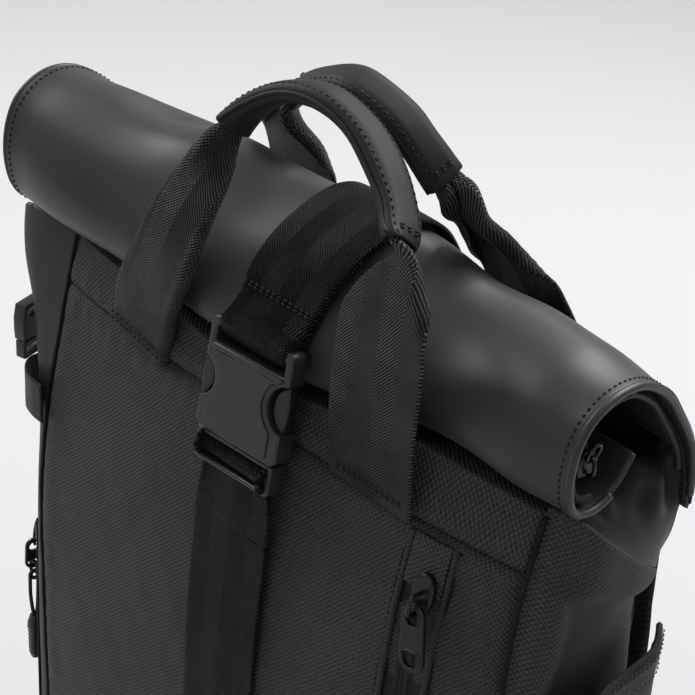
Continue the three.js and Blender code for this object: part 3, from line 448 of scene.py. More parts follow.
def tube_data(pts, r, sides=10, squash=1.0, up=None):
    pts = np.asarray(pts, float)
    T, N, B = path_frames(pts, up)
    r = np.broadcast_to(np.asarray(r, float), (len(pts),))
    a = np.linspace(0, 2 * math.pi, sides, endpoint=False)
    ring = N[:, None] * np.cos(a)[None, :, None] * r[:, None, None] * squash + B[:, None] * np.sin(a)[None, :, None] * r[:, None, None]
    V = pts[:, None] + ring
    n = len(pts)
    i = np.arange(n * sides).reshape(n, sides)
    j = np.roll(i, -1, 1)
    f = np.stack([i[:-1], i[1:], j[1:], j[:-1]], -1).reshape(-1, 4).tolist()
    # rounded ends
    s = n * sides
    caps = np.stack([pts[0] - T[0] * r[0] * 0.5, pts[-1] + T[-1] * r[-1] * 0.5])
    for q in range(sides):
        f.append([s, i[0, q], i[0, (q + 1) % sides]])
        f.append([s + 1, i[-1, (q + 1) % sides], i[-1, q]])
    d = np.r_[0, np.cumsum(np.linalg.norm(np.diff(pts, axis=0), axis=1))]
    uv = np.stack([np.tile(a * r.mean(), (n, 1)), np.tile(d[:, None], (1, sides))], -1).reshape(-1, 2)
    return np.concatenate([V.reshape(-1, 3), caps]), f, np.concatenate([uv, [[0, 0], [0, d[-1]]]])


def tube(name, pts, r, mat, sides=10, replaces=(), body="pack", squash=1.0, up=None):
    v, f, uv = tube_data(pts, r, sides, squash, up)
    return make(name, v, f, mat, uv, body, replaces)


def join_data(parts):
    V, Fa, U, n = [], [], [], 0
    for v, f, uv in parts:
        V.append(v)
        Fa += [[k + n for k in q] for q in f]
        U.append(uv)
        n += len(v)
    return np.concatenate(V), Fa, np.concatenate(U)


def stitches(name, lines, pitch=3.0, length=2.2, r=0.34, lift=0.18, body="pack", mat="thread"):
    """Rows of short threads: each dips into the cloth at both ends."""
    V, Fa = [], []
    k = 0
    a = np.linspace(0, 2 * math.pi, 6, endpoint=False)
    for pts, nrm in lines:
        pts, nrm = np.asarray(pts, float), np.asarray(nrm, float)
        d = np.r_[0, np.cumsum(np.linalg.norm(np.diff(pts, axis=0), axis=1))]
        if d[-1] < pitch:
            continue
        n = int(d[-1] / pitch)
        c = (np.arange(n) + 0.5) * d[-1] / n
        s = c[:, None] + length * (np.array([0, 0.2, 0.5, 0.8, 1.0]) - 0.5)[None]
        q = np.stack([np.interp(s, d, pts[:, i]) for i in range(3)], -1)
        N = unit(np.stack([np.interp(s, d, nrm[:, i]) for i in range(3)], -1))
        T = unit(q[:, -1] - q[:, 0])[:, None] + 0 * q
        N = unit(N - T * np.sum(N * T, -1, keepdims=True))
        B = np.cross(T, N)
        q = q + N * (np.array([-0.32, 0.1, 0.26, 0.1, -0.32])[None, :, None] + lift)
        rad = np.array([0.3, 0.9, 1.0, 0.9, 0.3]) * r
        ring = q[:, :, None] + (N[:, :, None] * np.cos(a)[None, None, :, None] * 0.8 + B[:, :, None] * np.sin(a)[None, None, :, None]) * rad[None, :, None, None]
        V.append(ring.reshape(-1, 3))
        for i in range(n):
            b = k + i * 30
            for g in range(4):
                for h in range(6):
                    Fa.append([b + g * 6 + h, b + g * 6 + (h + 1) % 6, b + (g + 1) * 6 + (h + 1) % 6, b + (g + 1) * 6 + h])
            Fa.append([b + h for h in range(5, -1, -1)])
            Fa.append([b + 24 + h for h in range(6)])
        k += n * 30
    return make(name, np.concatenate(V), Fa, mat, None, body)


def plate(name, outline, holes, t, at, u, v, mat, bevel=0.5, body="pack", replaces=(), res=2):
    """A plate with holes and rounded edges, drawn in (u, v) about the point at."""
    cu = bpy.data.curves.new(name + "_c", "CURVE")
    cu.dimensions = "2D"
    cu.fill_mode = "BOTH"
    cu.extrude = max(t / 2 - bevel, 0.01)
    cu.bevel_depth = bevel
    cu.bevel_resolution = res
    cu.offset = -bevel
    for loop in [outline, *holes]:
        s = cu.splines.new("POLY")
        s.points.add(len(loop) - 1)
        for p, (a, b) in zip(s.points, loop):
            p.co = (a, b, 0, 1)
        s.use_cyclic_u = True
    tmp = bpy.data.objects.new(name + "_c", cu)
    bpy.context.scene.collection.objects.link(tmp)
    bpy.context.view_layer.update()
    me = bpy.data.meshes.new_from_object(tmp.evaluated_get(bpy.context.evaluated_depsgraph_get()))
    bpy.data.objects.remove(tmp)
    co = np.array([q.co for q in me.vertices], float).reshape(-1, 3)
    U = np.asarray(u, float) / np.linalg.norm(u)
    W = np.asarray(v, float)
    W = W - U * (W @ U)
    W /= np.linalg.norm(W)
    N = np.cross(U, W)
    world = np.asarray(at, float) + co[:, :1] * U + co[:, 1:2] * W + co[:, 2:] * N
    faces = [list(p.vertices) for p in me.polygons]
    o = make(name, world, faces, mat, co[:, :2].copy(), body, replaces, flat_angle=50)
    return o


def arc(cx, cy, r, a0, a1, n, ry=None):
    t = np.radians(np.linspace(a0, a1, n))
    return [(cx + r * math.cos(q), cy + (ry or r) * math.sin(q)) for q in t]


def rrect(x0, y0, x1, y1, r, n=4):
    return arc(x1 - r, y1 - r, r, 0, 90, n) + arc(x0 + r, y1 - r, r, 90, 180, n) + arc(x0 + r, y0 + r, r, 180, 270, n) + arc(x1 - r, y0 + r, r, 270, 360, n)


# ------------------------------------------------------------------ the body's surfaces, as in the CAD
FZ = [-385, -372, -345, -290, -220, -160, -100, -60, -30, 0]
FY = [4, -1, -5, -8, -10, -11, -11.36, -9.4, -5.6, 0]
GF = [0, 0.04, 0.11, 0.22, 0.38, 0.56, 0.74, 0.89, 1]
G_RIGHT = [0, 0.36, 0.68, 0.92, 1, 0.98, 0.82, 0.5, 0.2]
G_LEFT = [0, 0.72, 0.98, 1, 0.98, 0.93, 0.77, 0.46, 0.2]
G_FWD = [0, 0.7, 1, 0.5, 0, 0, 0, 0, 0]
BZ = [-385, -300, -200, -122, -68, -26, 0, 30]
B_LEFT = [5, 10, 8.5, 6, 7.5, 19.7, 31, 37]
B_RIGHT = [5, 10, 10.8, 12, 15, 16.5, 16.5, 15]
WALL_Z = -381.65


def crown(x):
    return 5.17 * (x / 140) ** 2 + 6.83 * (x / 140) ** 4


def front_y(x, z):
    x, z = np.asarray(x, float), np.asarray(z, float)
    return crown(x) + np.where(z > 0, 22 * z / 100 + 10.64 * (z / 100) ** 2, cr(FZ, FY, z))


def half_front(z):
    return 121.2 + 8.8 * smooth(-np.asarray(z, float) / 130)


def slant(side, y):
    return 26.5 - 0.83 * (y - 14) if side > 0 else 22.5 - 0.78 * (y - 14)


def gusset(side, z, f):
    z, f = np.asarray(z, float), np.asarray(f, float)
    w = half_front(z)
    bulge = cr(BZ, B_RIGHT if side > 0 else B_LEFT, z)
    y0 = front_y(w, z)
    y = y0 + (83.65 - y0) * f - (0.16 * bulge * cr(GF, G_FWD, f) if side < 0 else 0)
    narrow = 2.6 * smooth((f - 0.75) / 0.25) * np.where(w > 125, 1.5, 1)
    x = side * (w + 1.6 + cr(GF, G_RIGHT if side > 0 else G_LEFT, f) * bulge - narrow)
    return np.stack([x, y, z + 0 * x], -1)


RLX = [-150, -90, -45, 0, 30, 69, 100, 131]
RLZ = [26, 24, 22.5, 20, 22.5, 28.5, 28, 25]


def roll_lower(x):
    return cr(RLX, RLZ, x)


# ------------------------------------------------------------------ the free cord of the left side's zip (first, as the camera)
ZX = -143.4
CORD = [(4.6, -191.5), (3.7, -186), (3.0, -178), (3.0, -172), (3.0, -167.5), (3.3, -166.4), (4.1, -165.55), (5.2, -165.25), (6.3, -165.55), (7.1, -166.4), (7.4, -167.5), (7.4, -172), (7.2, -178), (6.8, -186), (6.2, -191.5)]
cord_pts = refine([(ZX - 2.8, y, z) for y, z in CORD], 4)
side_cord = tube("zip_cord", cord_pts, 0.9, "cord", 10, "side_zip_cord")
# moulded grip on the cord: ridged, with a flared lower end
gz = np.linspace(-217, -191.6, 60)
gw = cr([-217, -214, -202, -196, -191.6], [5, 6.6, 7.0, 7.8, 5], gz) / 2
gt = cr([-217, -214, -202, -196, -191.6], [4, 4.6, 5.0, 5.2, 4], gz) / 2
ridge = 0.22 * np.maximum(0, np.sin((gz + 217) * 2 * math.pi / 2.6)) * smooth((gz + 215) / 2) * smooth((-196 - gz) / 2)
ang = np.linspace(0, 2 * math.pi, 20, endpoint=False)
gv = np.stack([np.stack([ZX - 2.8 + (t + q) * np.sign(np.cos(ang)) * np.abs(np.cos(ang)) ** 0.7, 5.4 + (w + q) * np.sign(np.sin(ang)) * np.abs(np.sin(ang)) ** 0.7, z + 0 * ang], -1) for z, w, t, q in zip(gz, gw, gt, ridge)])
gi = np.arange(60 * 20).reshape(60, 20)
gj = np.roll(gi, -1, 1)
gf = np.stack([gi[:-1], gj[:-1], gj[1:], gi[1:]], -1).reshape(-1, 4).tolist() + [gi[0][::-1].tolist(), gi[-1].tolist()]
cord_grip = make("zip_cord_grip", gv.reshape(-1, 3), gf, "plastic", None, "pack", "side_zip_grip", 45)
eye = refine([(ZX - 4.6, 5.0, -165.9), (ZX - 4.7, 5.0, -162.5), (ZX - 4.5, 5.1, -160.4), (ZX - 2.8, 5.4, -159.6), (ZX - 1.1, 5.6, -160.4), (ZX - 0.9, 5.6, -162.5), (ZX - 1.0, 5.5, -165.9)], 6)
cord_eye = tube("zip_cord_eye", eye, 0.8, "cord", 10)

# ------------------------------------------------------------------ front panel and yoke
zs = np.concatenate([np.linspace(WALL_Z, -60, 110), np.linspace(-58, -0.15, 60)])
ss = np.sin(np.linspace(-1, 1, 150) * math.pi / 2 * 0.92) / math.sin(math.pi / 2 * 0.92)
Z, S = np.meshgrid(zs, ss, indexing="ij")
HX = half_front(Z) - 0.35
FX = S * HX
edge = HX - np.abs(FX)
P = np.stack([FX, front_y(FX, Z), Z], -1)
puck = ripple(P, 3, 60, 0.7) + ripple(P, 4, 22, 0.16)
groove = 1.5 * np.exp(-((Z - 0) / 1.5) ** 2) + 1.5 * np.exp(-(edge / 1.6) ** 2)
seam_pucker = 0.22 * np.sin(FX * 2 * math.pi / 9 + 1.4 * np.sin(FX / 21)) * np.exp(-((Z + 6) / 7) ** 2) + 0.22 * np.sin(Z * 2 * math.pi / 10 + np.sin(Z / 17)) * np.exp(-((edge - 6) / 6) ** 2)
swell = -0.9 * np.exp(-((Z + 7) / 6) ** 2) - 0.8 * np.exp(-((edge - 7) / 6) ** 2)
P[..., 1] += puck * smooth(edge / 10) * smooth(-Z / 12) + groove + seam_pucker + swell * smooth(edge / 4) * smooth(-Z / 3)
sheet("front_panel_cloth", P, 2.0, (None, 60, None), "cordura", "front_panel")

vs = np.linspace(0, 1, 40)
xs = np.linspace(-120.85, 120.85, 150)
V2, X2 = np.meshgrid(vs, xs, indexing="ij")
top = roll_lower(X2) - 3.4
Zy = 0.15 + (top - 0.15) * np.minimum(V2 / 0.7, 1)
P = np.stack([X2, front_y(X2, Zy), Zy], -1)
tuck = np.maximum(V2 - 0.7, 0) / 0.3
P[..., 1] += 17 * tuck + 1.5 * np.exp(-(Zy / 1.5) ** 2) + 1.5 * np.exp(-((120.85 - np.abs(X2)) / 1.6) ** 2)
P[..., 2] -= 1.2 * tuck
P[..., 1] += 0.5 * ripple(P, 9, 40, 1.0) * smooth(Zy / 8) - 0.8 * np.exp(-((Zy - 6) / 5) ** 2) + 0.25 * np.sin(X2 * 2 * math.pi / 9.5) * np.exp(-((Zy - 5) / 5) ** 2)
sheet("yoke_cloth", P, 2.0, (None, 60, None), "cordura", "yoke_panel")

# ------------------------------------------------------------------ gussets
for side in (-1, 1):
    fs = np.concatenate([np.linspace(0, 0.2, 50), np.linspace(0.21, 1, 70)])
    vs = np.linspace(0, 1, 150)
    V2, F2 = np.meshgrid(vs, fs, indexing="ij")
    y_top = front_y(121.2, 20) + (84 - front_y(121.2, 20)) * F2
    ztop = slant(side, y_top) - 3 * smooth(1 - F2 / 0.05)
    Zg = WALL_Z + (ztop - WALL_Z) * V2 ** 0.8
    P = gusset(side, Zg, F2)
    w = half_front(Zg)
    depth = F2 * 78.0
    P[..., 0] -= side * (1.2 * np.exp(-(depth / 1.6) ** 2))
    P[..., 1] += 1.4 * np.exp(-(depth / 1.6) ** 2)
    P[..., 0] += side * (ripple(P, 21 + side, 70, 1.0) + ripple(P, 5 + side, 26, 0.3)) * smooth(depth / 12) * smooth((1 - F2) * 8)
    if side > 0:
        # behind the cordura strip the side falls in: a soft crease along the strip's edge
        line = 3.5 + 6.0 * np.exp(-((Zg + 25) / 30) ** 2) + 0.8 * np.sin(Zg / 23)
        inn = np.minimum(depth - line, (-6.5 - 0.20 * depth + 3.0 * np.sin(depth / 13)) - Zg)
        fall = smooth(inn / 11)
        lip = np.exp(-((inn + 2.5) / 3.2) ** 2)
        P[..., 0] += side * (1.3 * lip * smooth((1 - F2) * 6) - 6.0 * fall) * smooth((Zg + 385) / 60)
        P[..., 1] -= 0.8 * lip
        # drag lines in the panel
        P[..., 0] += side * 0.5 * np.sin((depth * 0.55 + Zg * 0.35) / 5.0) * fall * np.exp(-((inn - 14) / 14) ** 2)
        # one mesh, two cloths
        o = sheet("gusset_right_cloth", P, 2.0, (0, None, None), "cordura", "right_gusset")
        o.data.materials.append(MAT["cordura_fine"])
        n, k = P.shape[:2]
        inside_face = (fall[:-1, :-1] > 0.02).ravel()
        for q in np.nonzero(inside_face)[0]:
            o.data.polygons[int(q)].material_index = 1
    else:
        # slack folds near the side zip
        P[..., 0] += side * 1.1 * np.exp(-((depth - 12 - (Zg + 90) * 0.15) / 4) ** 2) * np.exp(-((Zg + 95) / 32) ** 2)
        P[..., 0] += side * 0.9 * np.exp(-((depth - 11 + (Zg + 180) * 0.3) / 3.5) ** 2) * np.exp(-((Zg + 180) / 22) ** 2)
        sheet("gusset_left_cloth", P, 2.0, (0, None, None), "coated_left", "left_gusset")

# piping in the two front seams, slightly puckered
for side in (-1, 1):
    z = np.linspace(-378, 19 if side < 0 else 22, 220)
    w = half_front(z)
    pts = np.stack([side * (w + 0.75), front_y(w, z) + 0.75 + 0.12 * np.sin(z / 5), z], -1)
    tube("seam_piping_" + ("left" if side < 0 else "right"), pts, 0.85, "piping", 10)

# ------------------------------------------------------------------ base and back
base_f = np.linspace(0, 1, 40)
ring = []
for x in np.linspace(-130, 130, 80):
    ring.append((x, float(front_y(x, -385))))
for f in base_f[1:]:
    ring.append(tuple(gusset(1, -385.0, f)[:2]))
for f in base_f[::-1][:-1]:
    ring.append(tuple(gusset(-1, -385.0, f)[:2]))
ring = np.array(ring)
c = ring.mean(0)
rows_ = []
for s, z in [(0.02, -385), (0.5, -385), (0.9, -385), (0.975, -384.9), (0.992, -384.4), (1.0, -383.5), (0.992, -382.5), (0.97, -382), (0.5, -382), (0.02, -382)]:
    rows_.append(np.c_[c + (ring - c) * s, np.full(len(ring), z)])
bv = np.stack(rows_)
bi = np.arange(bv.shape[0] * bv.shape[1]).reshape(bv.shape[:2])
bj = np.roll(bi, -1, 1)
bf = np.stack([bi[:-1], bj[:-1], bj[1:], bi[1:]], -1).reshape(-1, 4).tolist() + [bi[0][::-1].tolist(), bi[-1].tolist()]
make("base_cloth", bv.reshape(-1, 3), bf, "cordura", bv.reshape(-1, 3)[:, :2], "pack", "base_panel")


def inflate(o, pinned, pressure, cap, frames=20):
    """Cloth simulation with air pressure inside, seams pinned, the result kept in the mesh."""
    rest = np.zeros(len(o.data.vertices) * 3)
    o.data.vertices.foreach_get("co", rest)
    rest = rest.reshape(-1, 3)
    g = o.vertex_groups.new(name="seams")
    g.add([int(i) for i in np.nonzero(pinned)[0]], 1.0, "REPLACE")
    mod = o.modifiers.new("air", "CLOTH")
    st = mod.settings
    st.quality = 6
    st.mass = 0.25
    st.tension_stiffness = st.compression_stiffness = 14
    st.shear_stiffness = 8
    st.bending_stiffness = 0.6
    st.use_pressure = True
    st.uniform_pressure_force = pressure
    st.vertex_group_mass = "seams"
    st.effector_weights.gravity = 0.0
    mod.collision_settings.use_collision = False
    mod.point_cache.frame_start, mod.point_cache.frame_end = 1, frames
    sc = bpy.context.scene
    for fr in range(1, frames + 1):
        sc.frame_set(fr)
    ev = o.evaluated_get(bpy.context.evaluated_depsgraph_get())
    now = np.zeros(len(ev.data.vertices) * 3)
    ev.data.vertices.foreach_get("co", now)
    move = now.reshape(-1, 3) - rest
    ln = np.linalg.norm(move, axis=1, keepdims=True)
    move *= np.minimum(1, cap / np.maximum(ln, 1e-9))
    o.modifiers.remove(mod)
    o.vertex_groups.remove(g)
    o.data.vertices.foreach_set("co", (rest + move).ravel())
    o.data.update()
    sc.frame_set(1)


# padded back: sewn channels round a middle air channel
BT = np.array([[-385, 129, 90, 6], [-372, 129.5, 92, 8], [-200, 129.5, 92, 8], [-80, 127, 92, 8], [-40, 124, 91.5, 7.5], [-20, 124, 90.5, 6.2], [-4, 128, 88.5, 3.6]])
zb = np.linspace(WALL_Z, -4, 120)
sb = np.linspace(-1, 1, 84)
tab = cr(BT[:, 0], BT[:, 1:], zb)
ZB, SB = np.meshgrid(zb, sb, indexing="ij")
half, outer, pad = (tab[:, i][:, None] for i in range(3))
XB = SB * half
edge = half - np.abs(XB)
chan = np.minimum.reduce([np.abs(np.abs(XB) - 22) + 0 * ZB, np.abs(ZB + 120) + np.where(np.abs(XB) < 22, 99, 0), np.abs(ZB + 250) + np.where(np.abs(XB) < 22, 99, 0), np.abs(ZB + 52) + 0 * XB])
puffed = (1 - np.exp(-(chan / 5) ** 2)) * (1 - 0.75 * np.exp(-(edge / 5) ** 2)) * smooth((ZB - WALL_Z) / 6 + 0.2) * smooth((-4 - ZB) / 6 + 0.2)
A = np.stack([XB, outer - 2.6 - pad * 0.25 + 2.0 * puffed, ZB], -1)
Bk = np.stack([XB, outer - pad + 0.45 + 0 * XB, ZB], -1)
bvv, bff, bli = closed(A, Bk)
uvA = np.stack([XB, ZB], -1)
uvs = np.concatenate([uvA.reshape(-1, 2)] * 2 + [uvA[bli[:, 0], bli[:, 1]]])
back = make("back_pad", bvv, bff, "pad", uvs, "pack", "back_panel")
nA = A.shape[0] * A.shape[1]
pin = np.ones(len(bvv), bool)
pin[:nA] = ((chan < 1.6) | (edge < 4) | (ZB < WALL_Z + 4) | (ZB > -7)).ravel()
inflate(back, pin, 6.0, 0.0042)
zz = np.linspace(-374, -10, 160)
tb = cr(BT[:, 0], BT[:, 1:], zz)
lines = []
for s in (-22, 22):
    lines.append((np.stack([s + 0 * zz, tb[:, 1] - 2.35 - tb[:, 2] * 0.25, zz], -1), np.tile([0, 1.0, 0], (160, 1))))
stitches("back_pad_stitches", lines, 3.6, 2.6)

# shoulder straps, padded, with binding
SH = np.array([(98.2, -22, 44, 50, 8), (102, -38, 47, 56, 9), (110, -64, 53, 62, 10), (118, -110, 61, 64, 10), (120, -160, 70, 62, 10), (116, -210, 78, 56, 9), (110, -250, 85, 42, 8)], float)
for side in (-1, 1):
    tag = "left" if side < 0 else "right"
    q = refine(SH, 14)
    pts = np.stack([side * q[:, 2], q[:, 0], q[:, 1]], -1)
    T = unit(np.gradient(pts, axis=0))
    W = unit(np.array([1.0, 0, 0]) - T * T[:, :1])
    N = unit(np.cross(T, W))
    k = 26
    u = np.linspace(-1, 1, k)
    half_w = q[:, 3] / 2
    th = q[:, 4] / 2
    prof = (1 - np.abs(u) ** 3.2) ** 0.6 * 0.72 + 0.14
    end = smooth(np.minimum(np.arange(len(q)), len(q) - 1 - np.arange(len(q))) / 5 + 0.25)
    A = pts[:, None] + W[:, None] * (u[None, :, None] * (half_w - 0.8)[:, None, None]) + N[:, None] * (prof[None, :, None] * (th * end)[:, None, None])
    Bq = pts[:, None] + W[:, None] * (u[None, :, None] * (half_w - 0.8)[:, None, None]) - N[:, None] * (prof[None, :, None] * (th * end)[:, None, None])
    sv, sf, sli = closed(A, Bq)
    ua = arcs(A)
    o = make("shoulder_pad_" + tag, sv, sf, "pad", np.concatenate([ua.reshape(-1, 2)] * 2 + [ua[sli[:, 0], sli[:, 1]]]), "pack", "shoulder_strap_" + tag)
    pin = np.zeros(len(sv), bool)
    e = np.zeros(A.shape[:2], bool)
    e[:, :2] = e[:, -2:] = e[:2] = e[-2:] = True
    pin[: e.size] = e.ravel()
    pin[e.size: 2 * e.size] = e.ravel()
    pin[2 * e.size:] = True
    inflate(o, pin, 5.0, 0.0016, 12)
    for s2, nm in ((-1, "a"), (1, "b")):
        tube(f"strap_binding_{tag}_{nm}", pts + W * (s2 * (half_w - 0.6))[:, None], 1.5, "piping", 8, squash=1.25)
    # ladder lock and webbing
    plate("ladder_lock_" + tag, rrect(-16, -12, 16, 12, 3), [rrect(-13, 3, 13, 7, 0.8, 2)[::-1], rrect(-13, -7, 13, -3, 0.8, 2)[::-1]], 4, (side * 88, 107.5, -264.5), (1, 0, 0), (0, 0.12, 1), "plastic", 0.8, replaces="strap_adjuster_" + tag)
    wq = refine([(side * 90, 105.4, -279.2), (side * 96, 102, -305), (side * 103, 97, -335), (side * 108, 93.8, -358)], 10)
    Tw = unit(np.gradient(wq, axis=0))
    Ww = unit(np.array([1.0, 0, 0]) - Tw * Tw[:, :1])
    G = wq[:, None] + Ww[:, None] * np.linspace(-12.5, 12.5, 9)[None, :, None]
    G = G + 0.9 * normals(G)
    sheet("strap_tail_" + tag, G, 1.8, (0, 84, None), "webbing_small", "strap_webbing_" + tag)

# ------------------------------------------------------------------ the roll
RS = np.array([(80, -3.5, 87, -3.5, 87, -3.5), (77, 16, 86.5, 13, 85.5, 11), (72, 34, 84, 30, 81.5, 24.5), (66, 48, 79, 44, 76, 34), (58, 59, 73, 55, 69, 43.5),
               (49, 68, 66, 64, 60, 55), (40, 74.5, 57, 70, 51.5, 62), (31, 78.5, 47, 72.3, 43, 66.5), (21, 79, 36, 70, 34.5, 68.7), (12, 76, 26, 65.5, 26, 69),
               (5, 70, 17, 60, 19, 67), (1, 61, 10.5, 53.5, 13, 62.5), (-0.6, 51, 6, 46, 9.5, 56), (0, 42, 3.5, 38, 8.2, 48), (2.5, 34, 3, 29.5, 8.8, 40),
               (7, 28, 6, 22.5, 12, 31.5), (14, 26, 14, 20, 18, 26.5), (23, 27, 26, 22, 28, 25), (32, 31, 37, 28, 38, 29), (39, 38, 45, 37, 45, 37)], float)


def roll(k, x):
    k, x = np.broadcast_arrays(np.asarray(k, float), np.asarray(x, float))
    r = cr(np.arange(20), RS, k)
    t = np.where(x < 0, x / 150, x / 131)
    a, b, c3 = t * (t - 1) / 2, 1 - t * t, t * (t + 1) / 2
    y = a * r[..., 0] + b * r[..., 2] + c3 * r[..., 4]
    z = a * r[..., 1] + b * r[..., 3] + c3 * r[..., 5]
    low = a * 26 + b * 20 + c3 * 26.5
    z = z + (roll_lower(x) - low) * smooth(1 - np.abs(k - 15.5) / 3.5)
    return np.stack([x, y, z], -1)


# soft dents: middle x, middle row, half sizes, depth (inwards)
DENTS = [(-96, 6.6, 20, 1.2, 4.4), (-72, 8.4, 18, 1.2, -1.4), (-60, 5.2, 22, 2.0, 1.6), (58, 5.6, 16, 1.7, 2.4), (-62, 10.2, 20, 1.3, 1.8), (70, 10.6, 22, 1.6, 1.6), (-30, 9.5, 14, 3.0, 1.2), (34, 10.0, 12, 3.4, 1.2),
         (-118, 12.5, 26, 2.4, -1.0), (90, 6.5, 26, 1.4, -0.8), (-35, 13.6, 10, 2.2, -1.2), (96, 12.0, 22, 2.6, 0.8)]
ks = np.linspace(0, 19, 186)
xr = np.linspace(-150, 131, 206)
XR, KR = np.meshgrid(xr, ks, indexing="ij")
P = roll(KR, XR)
N = normals(P)
sgn = np.sign(np.nansum(N * (np.array([np.nan, 42, 45]) - P)))
IN = N * sgn
d = np.zeros_like(XR)
for x0, k0, rx, rk, dep in DENTS:
    d += dep * np.exp(-((XR - x0) / rx) ** 2 - ((KR - k0) / rk) ** 2)
d += ripple(P, 31, 85, 0.9) * smooth((131 - XR) / 25) * smooth((XR + 150) / 12)
d += ripple(P, 33, 30, 0.12)
P = P + IN * d[..., None]
ROLL_P, ROLL_IN = P, IN
sheet("roll_cloth", P, 2.0, (None, 42, 45), "coated", "roll_outer")
sel = (ks >= 2.6) & (ks <= 15.4)
inner = P[:, sel] + IN[:, sel] * 5.2
inner[..., 0] = np.clip(inner[..., 0], -149.5, 127.5)
sheet("roll_inner_cloth", inner, 1.8, (None, 42, 45), "lining", "roll_inner")
# folded rim at the right end, with its row of stitches
iend = len(xr) - 1
rim_k = (ks >= 0.4) & (ks <= 17.6)
rim = P[iend][rim_k] + IN[iend][rim_k] * 1.1 + np.array([0.4, 0, 0])
tube("roll_rim_right", rim, 1.55, "coated", 12)
rim2 = P[iend][rim_k] + IN[iend][rim_k] * 5.6 + np.array([-2.2, 0, 0])
tube("roll_rim_inner", rim2[10:-8], 1.3, "coated_shaded_mouth", 10)
i3 = int(np.argmin(np.abs(xr - 127.8)))
lines = [(P[i3][rim_k][20:], -IN[i3][rim_k][20:])]
rim_l = (ks >= 0.4) & (ks <= 17.6)
tube("roll_rim_left", P[0][rim_l] + IN[0][rim_l] * 1.1 + np.array([-0.2, 0, 0]), 1.5, "coated", 12)
i4 = int(np.argmin(np.abs(xr + 146.6)))
lines.append((P[i4][rim_l], -IN[i4][rim_l]))
stitches("roll_rim_stitches", lines, 2.6, 1.9, 0.3, 0.1)

# back edge of the roll at the right end: woven crescent outside a piped seam
kk = np.linspace(8.2, 0.1, 90)
edge_p = roll(kk, 131.0)
inw = np.array([0, 42, 45]) - edge_p
inw[:, 0] = 0
inw = unit(inw)
wid = cr([0.1, 1.2, 3.0, 5.0, 6.6, 8.2], [3.0, 4.2, 7.4, 8.6, 6.0, 0.8], kk)
qs = np.linspace(0, 1, 14)
G = edge_p[:, None] + np.array([1.0, 0, 0]) * ((1.2 + 1.6 * np.sin(qs * math.pi))[None, :, None] * smooth(wid / 3)[:, None, None] - (qs[None, :] * wid[:, None])[..., None]) + inw[:, None] * ((0.2 + 2.6 * qs ** 0.8)[None, :, None])
sheet("roll_back_edge", G, 1.2, (60, 42, 20), "cordura")
pipe = G[:, -1] + inw * 0.5 + np.array([0.5, 0, 0])
tube("roll_back_piping", pipe, 1.25, "coated_shaded_mouth", 10)
lowp = kk < 3.2
stitches("roll_back_stitches", [((pipe + inw * 2.0 + np.array([-0.6, 0, 0]))[lowp], np.tile([0.8, -0.4, 0.3], (int(lowp.sum()), 1)))], 2.6, 1.9, 0.32, 0.2)

# ------------------------------------------------------------------ folded tops of the gussets
TOP = {
    1: [[(125.5, 20, 22.5), (129.5, 32, 15.5), (131, 44, 9), (131, 58, 2.5), (130.5, 73, -6), (128.5, 84.5, -14)],
        [(121, 22, 23.0), (124, 32, 20), (125.5, 45, 15.5), (126, 59, 11), (127.5, 74, 5), (129, 85, -1)],
        [(114, 26, 21), (117, 36, 19.5), (119, 47, 19), (121.5, 60, 17), (124.5, 73, 14.5), (127.5, 83.5, 9)],
        [(108, 30, 16), (110, 39, 14), (113, 49, 15), (116.5, 61, 19), (121, 72.5, 20), (125.5, 81, 20)],
        [(100, 34, 8), (102, 42, 4), (104, 51, 3), (106, 62, 9), (112, 72, 14), (121, 79.5, 25)],
        [(86, 38, -2), (88, 45, -8), (90, 53, -10), (92, 63, -6), (98, 71, -2), (112, 78, 12)]],
    -1: [[(147, 20, 20), (152, 30, 14.5), (154, 43, 7), (152, 57, 0), (146, 71, -8), (134, 80, -13)],
         [(141, 22, 20.5), (146, 31, 16), (147, 44, 10), (145, 58, 5), (140, 71, -1), (131, 79, -6)],
         [(132, 25, 19), (136, 34, 15), (136, 45, 12), (134, 58, 8), (130, 70, 5), (125, 77.5, 2)],
         [(124, 29, 15), (126, 37, 11), (125, 47, 8), (123, 59, 6), (121, 69, 6), (119, 76, 6)],
         [(112, 34, 6), (113, 41, 2), (112, 50, -1), (110, 60, -2), (109, 69, 0), (109, 75, 4)]],
}
for side in (1, -1):
    ys = front_y(121.2, 20) + (84 - front_y(121.2, 20)) * np.array([0.05, 0.2, 0.4, 0.6, 0.8, 0.985])
    first = [(p[0] - side * 0.6, p[1], p[2] + 0.6) for p in (gusset(side, slant(side, y), (y - front_y(121.2, 20)) / (84 - front_y(121.2, 20))) for y in ys)]
    ctrl = np.array([first] + [[(side * x, y, z) for x, y, z in r] for r in TOP[side]], float)
    g1 = np.stack([refine(ctrl[:, j], 12) for j in range(6)], 1)
    G = np.stack([refine(g1[i], 16) for i in range(g1.shape[0])], 0)
    a, b = np.meshgrid(np.linspace(0, 1, G.shape[0]), np.linspace(0, 1, G.shape[1]), indexing="ij")
    NN = normals(G)
    fold = 1.3 * np.sin(b * 17 + a * 5) * np.sin(a * math.pi) ** 1.5 + 0.8 * np.sin(b * 31 - a * 9) * np.sin(a * math.pi) ** 2
    fold *= np.where(a < 0.08, 0, 1) * smooth((a - 0.08) / 0.2)
    if side > 0:
        fold += 2.2 * np.exp(-((a - 0.5) / 0.12) ** 2 - ((b - 0.74) / 0.12) ** 2)
    G = G + NN * np.sign(NN[..., 2].mean()) * fold[..., None]
    sheet("gusset_top_" + ("right" if side > 0 else "left"), G, 1.2, (0, 45, -90), "coated_shaded_mouth", "right_gusset_top" if side > 0 else "left_gusset_top")

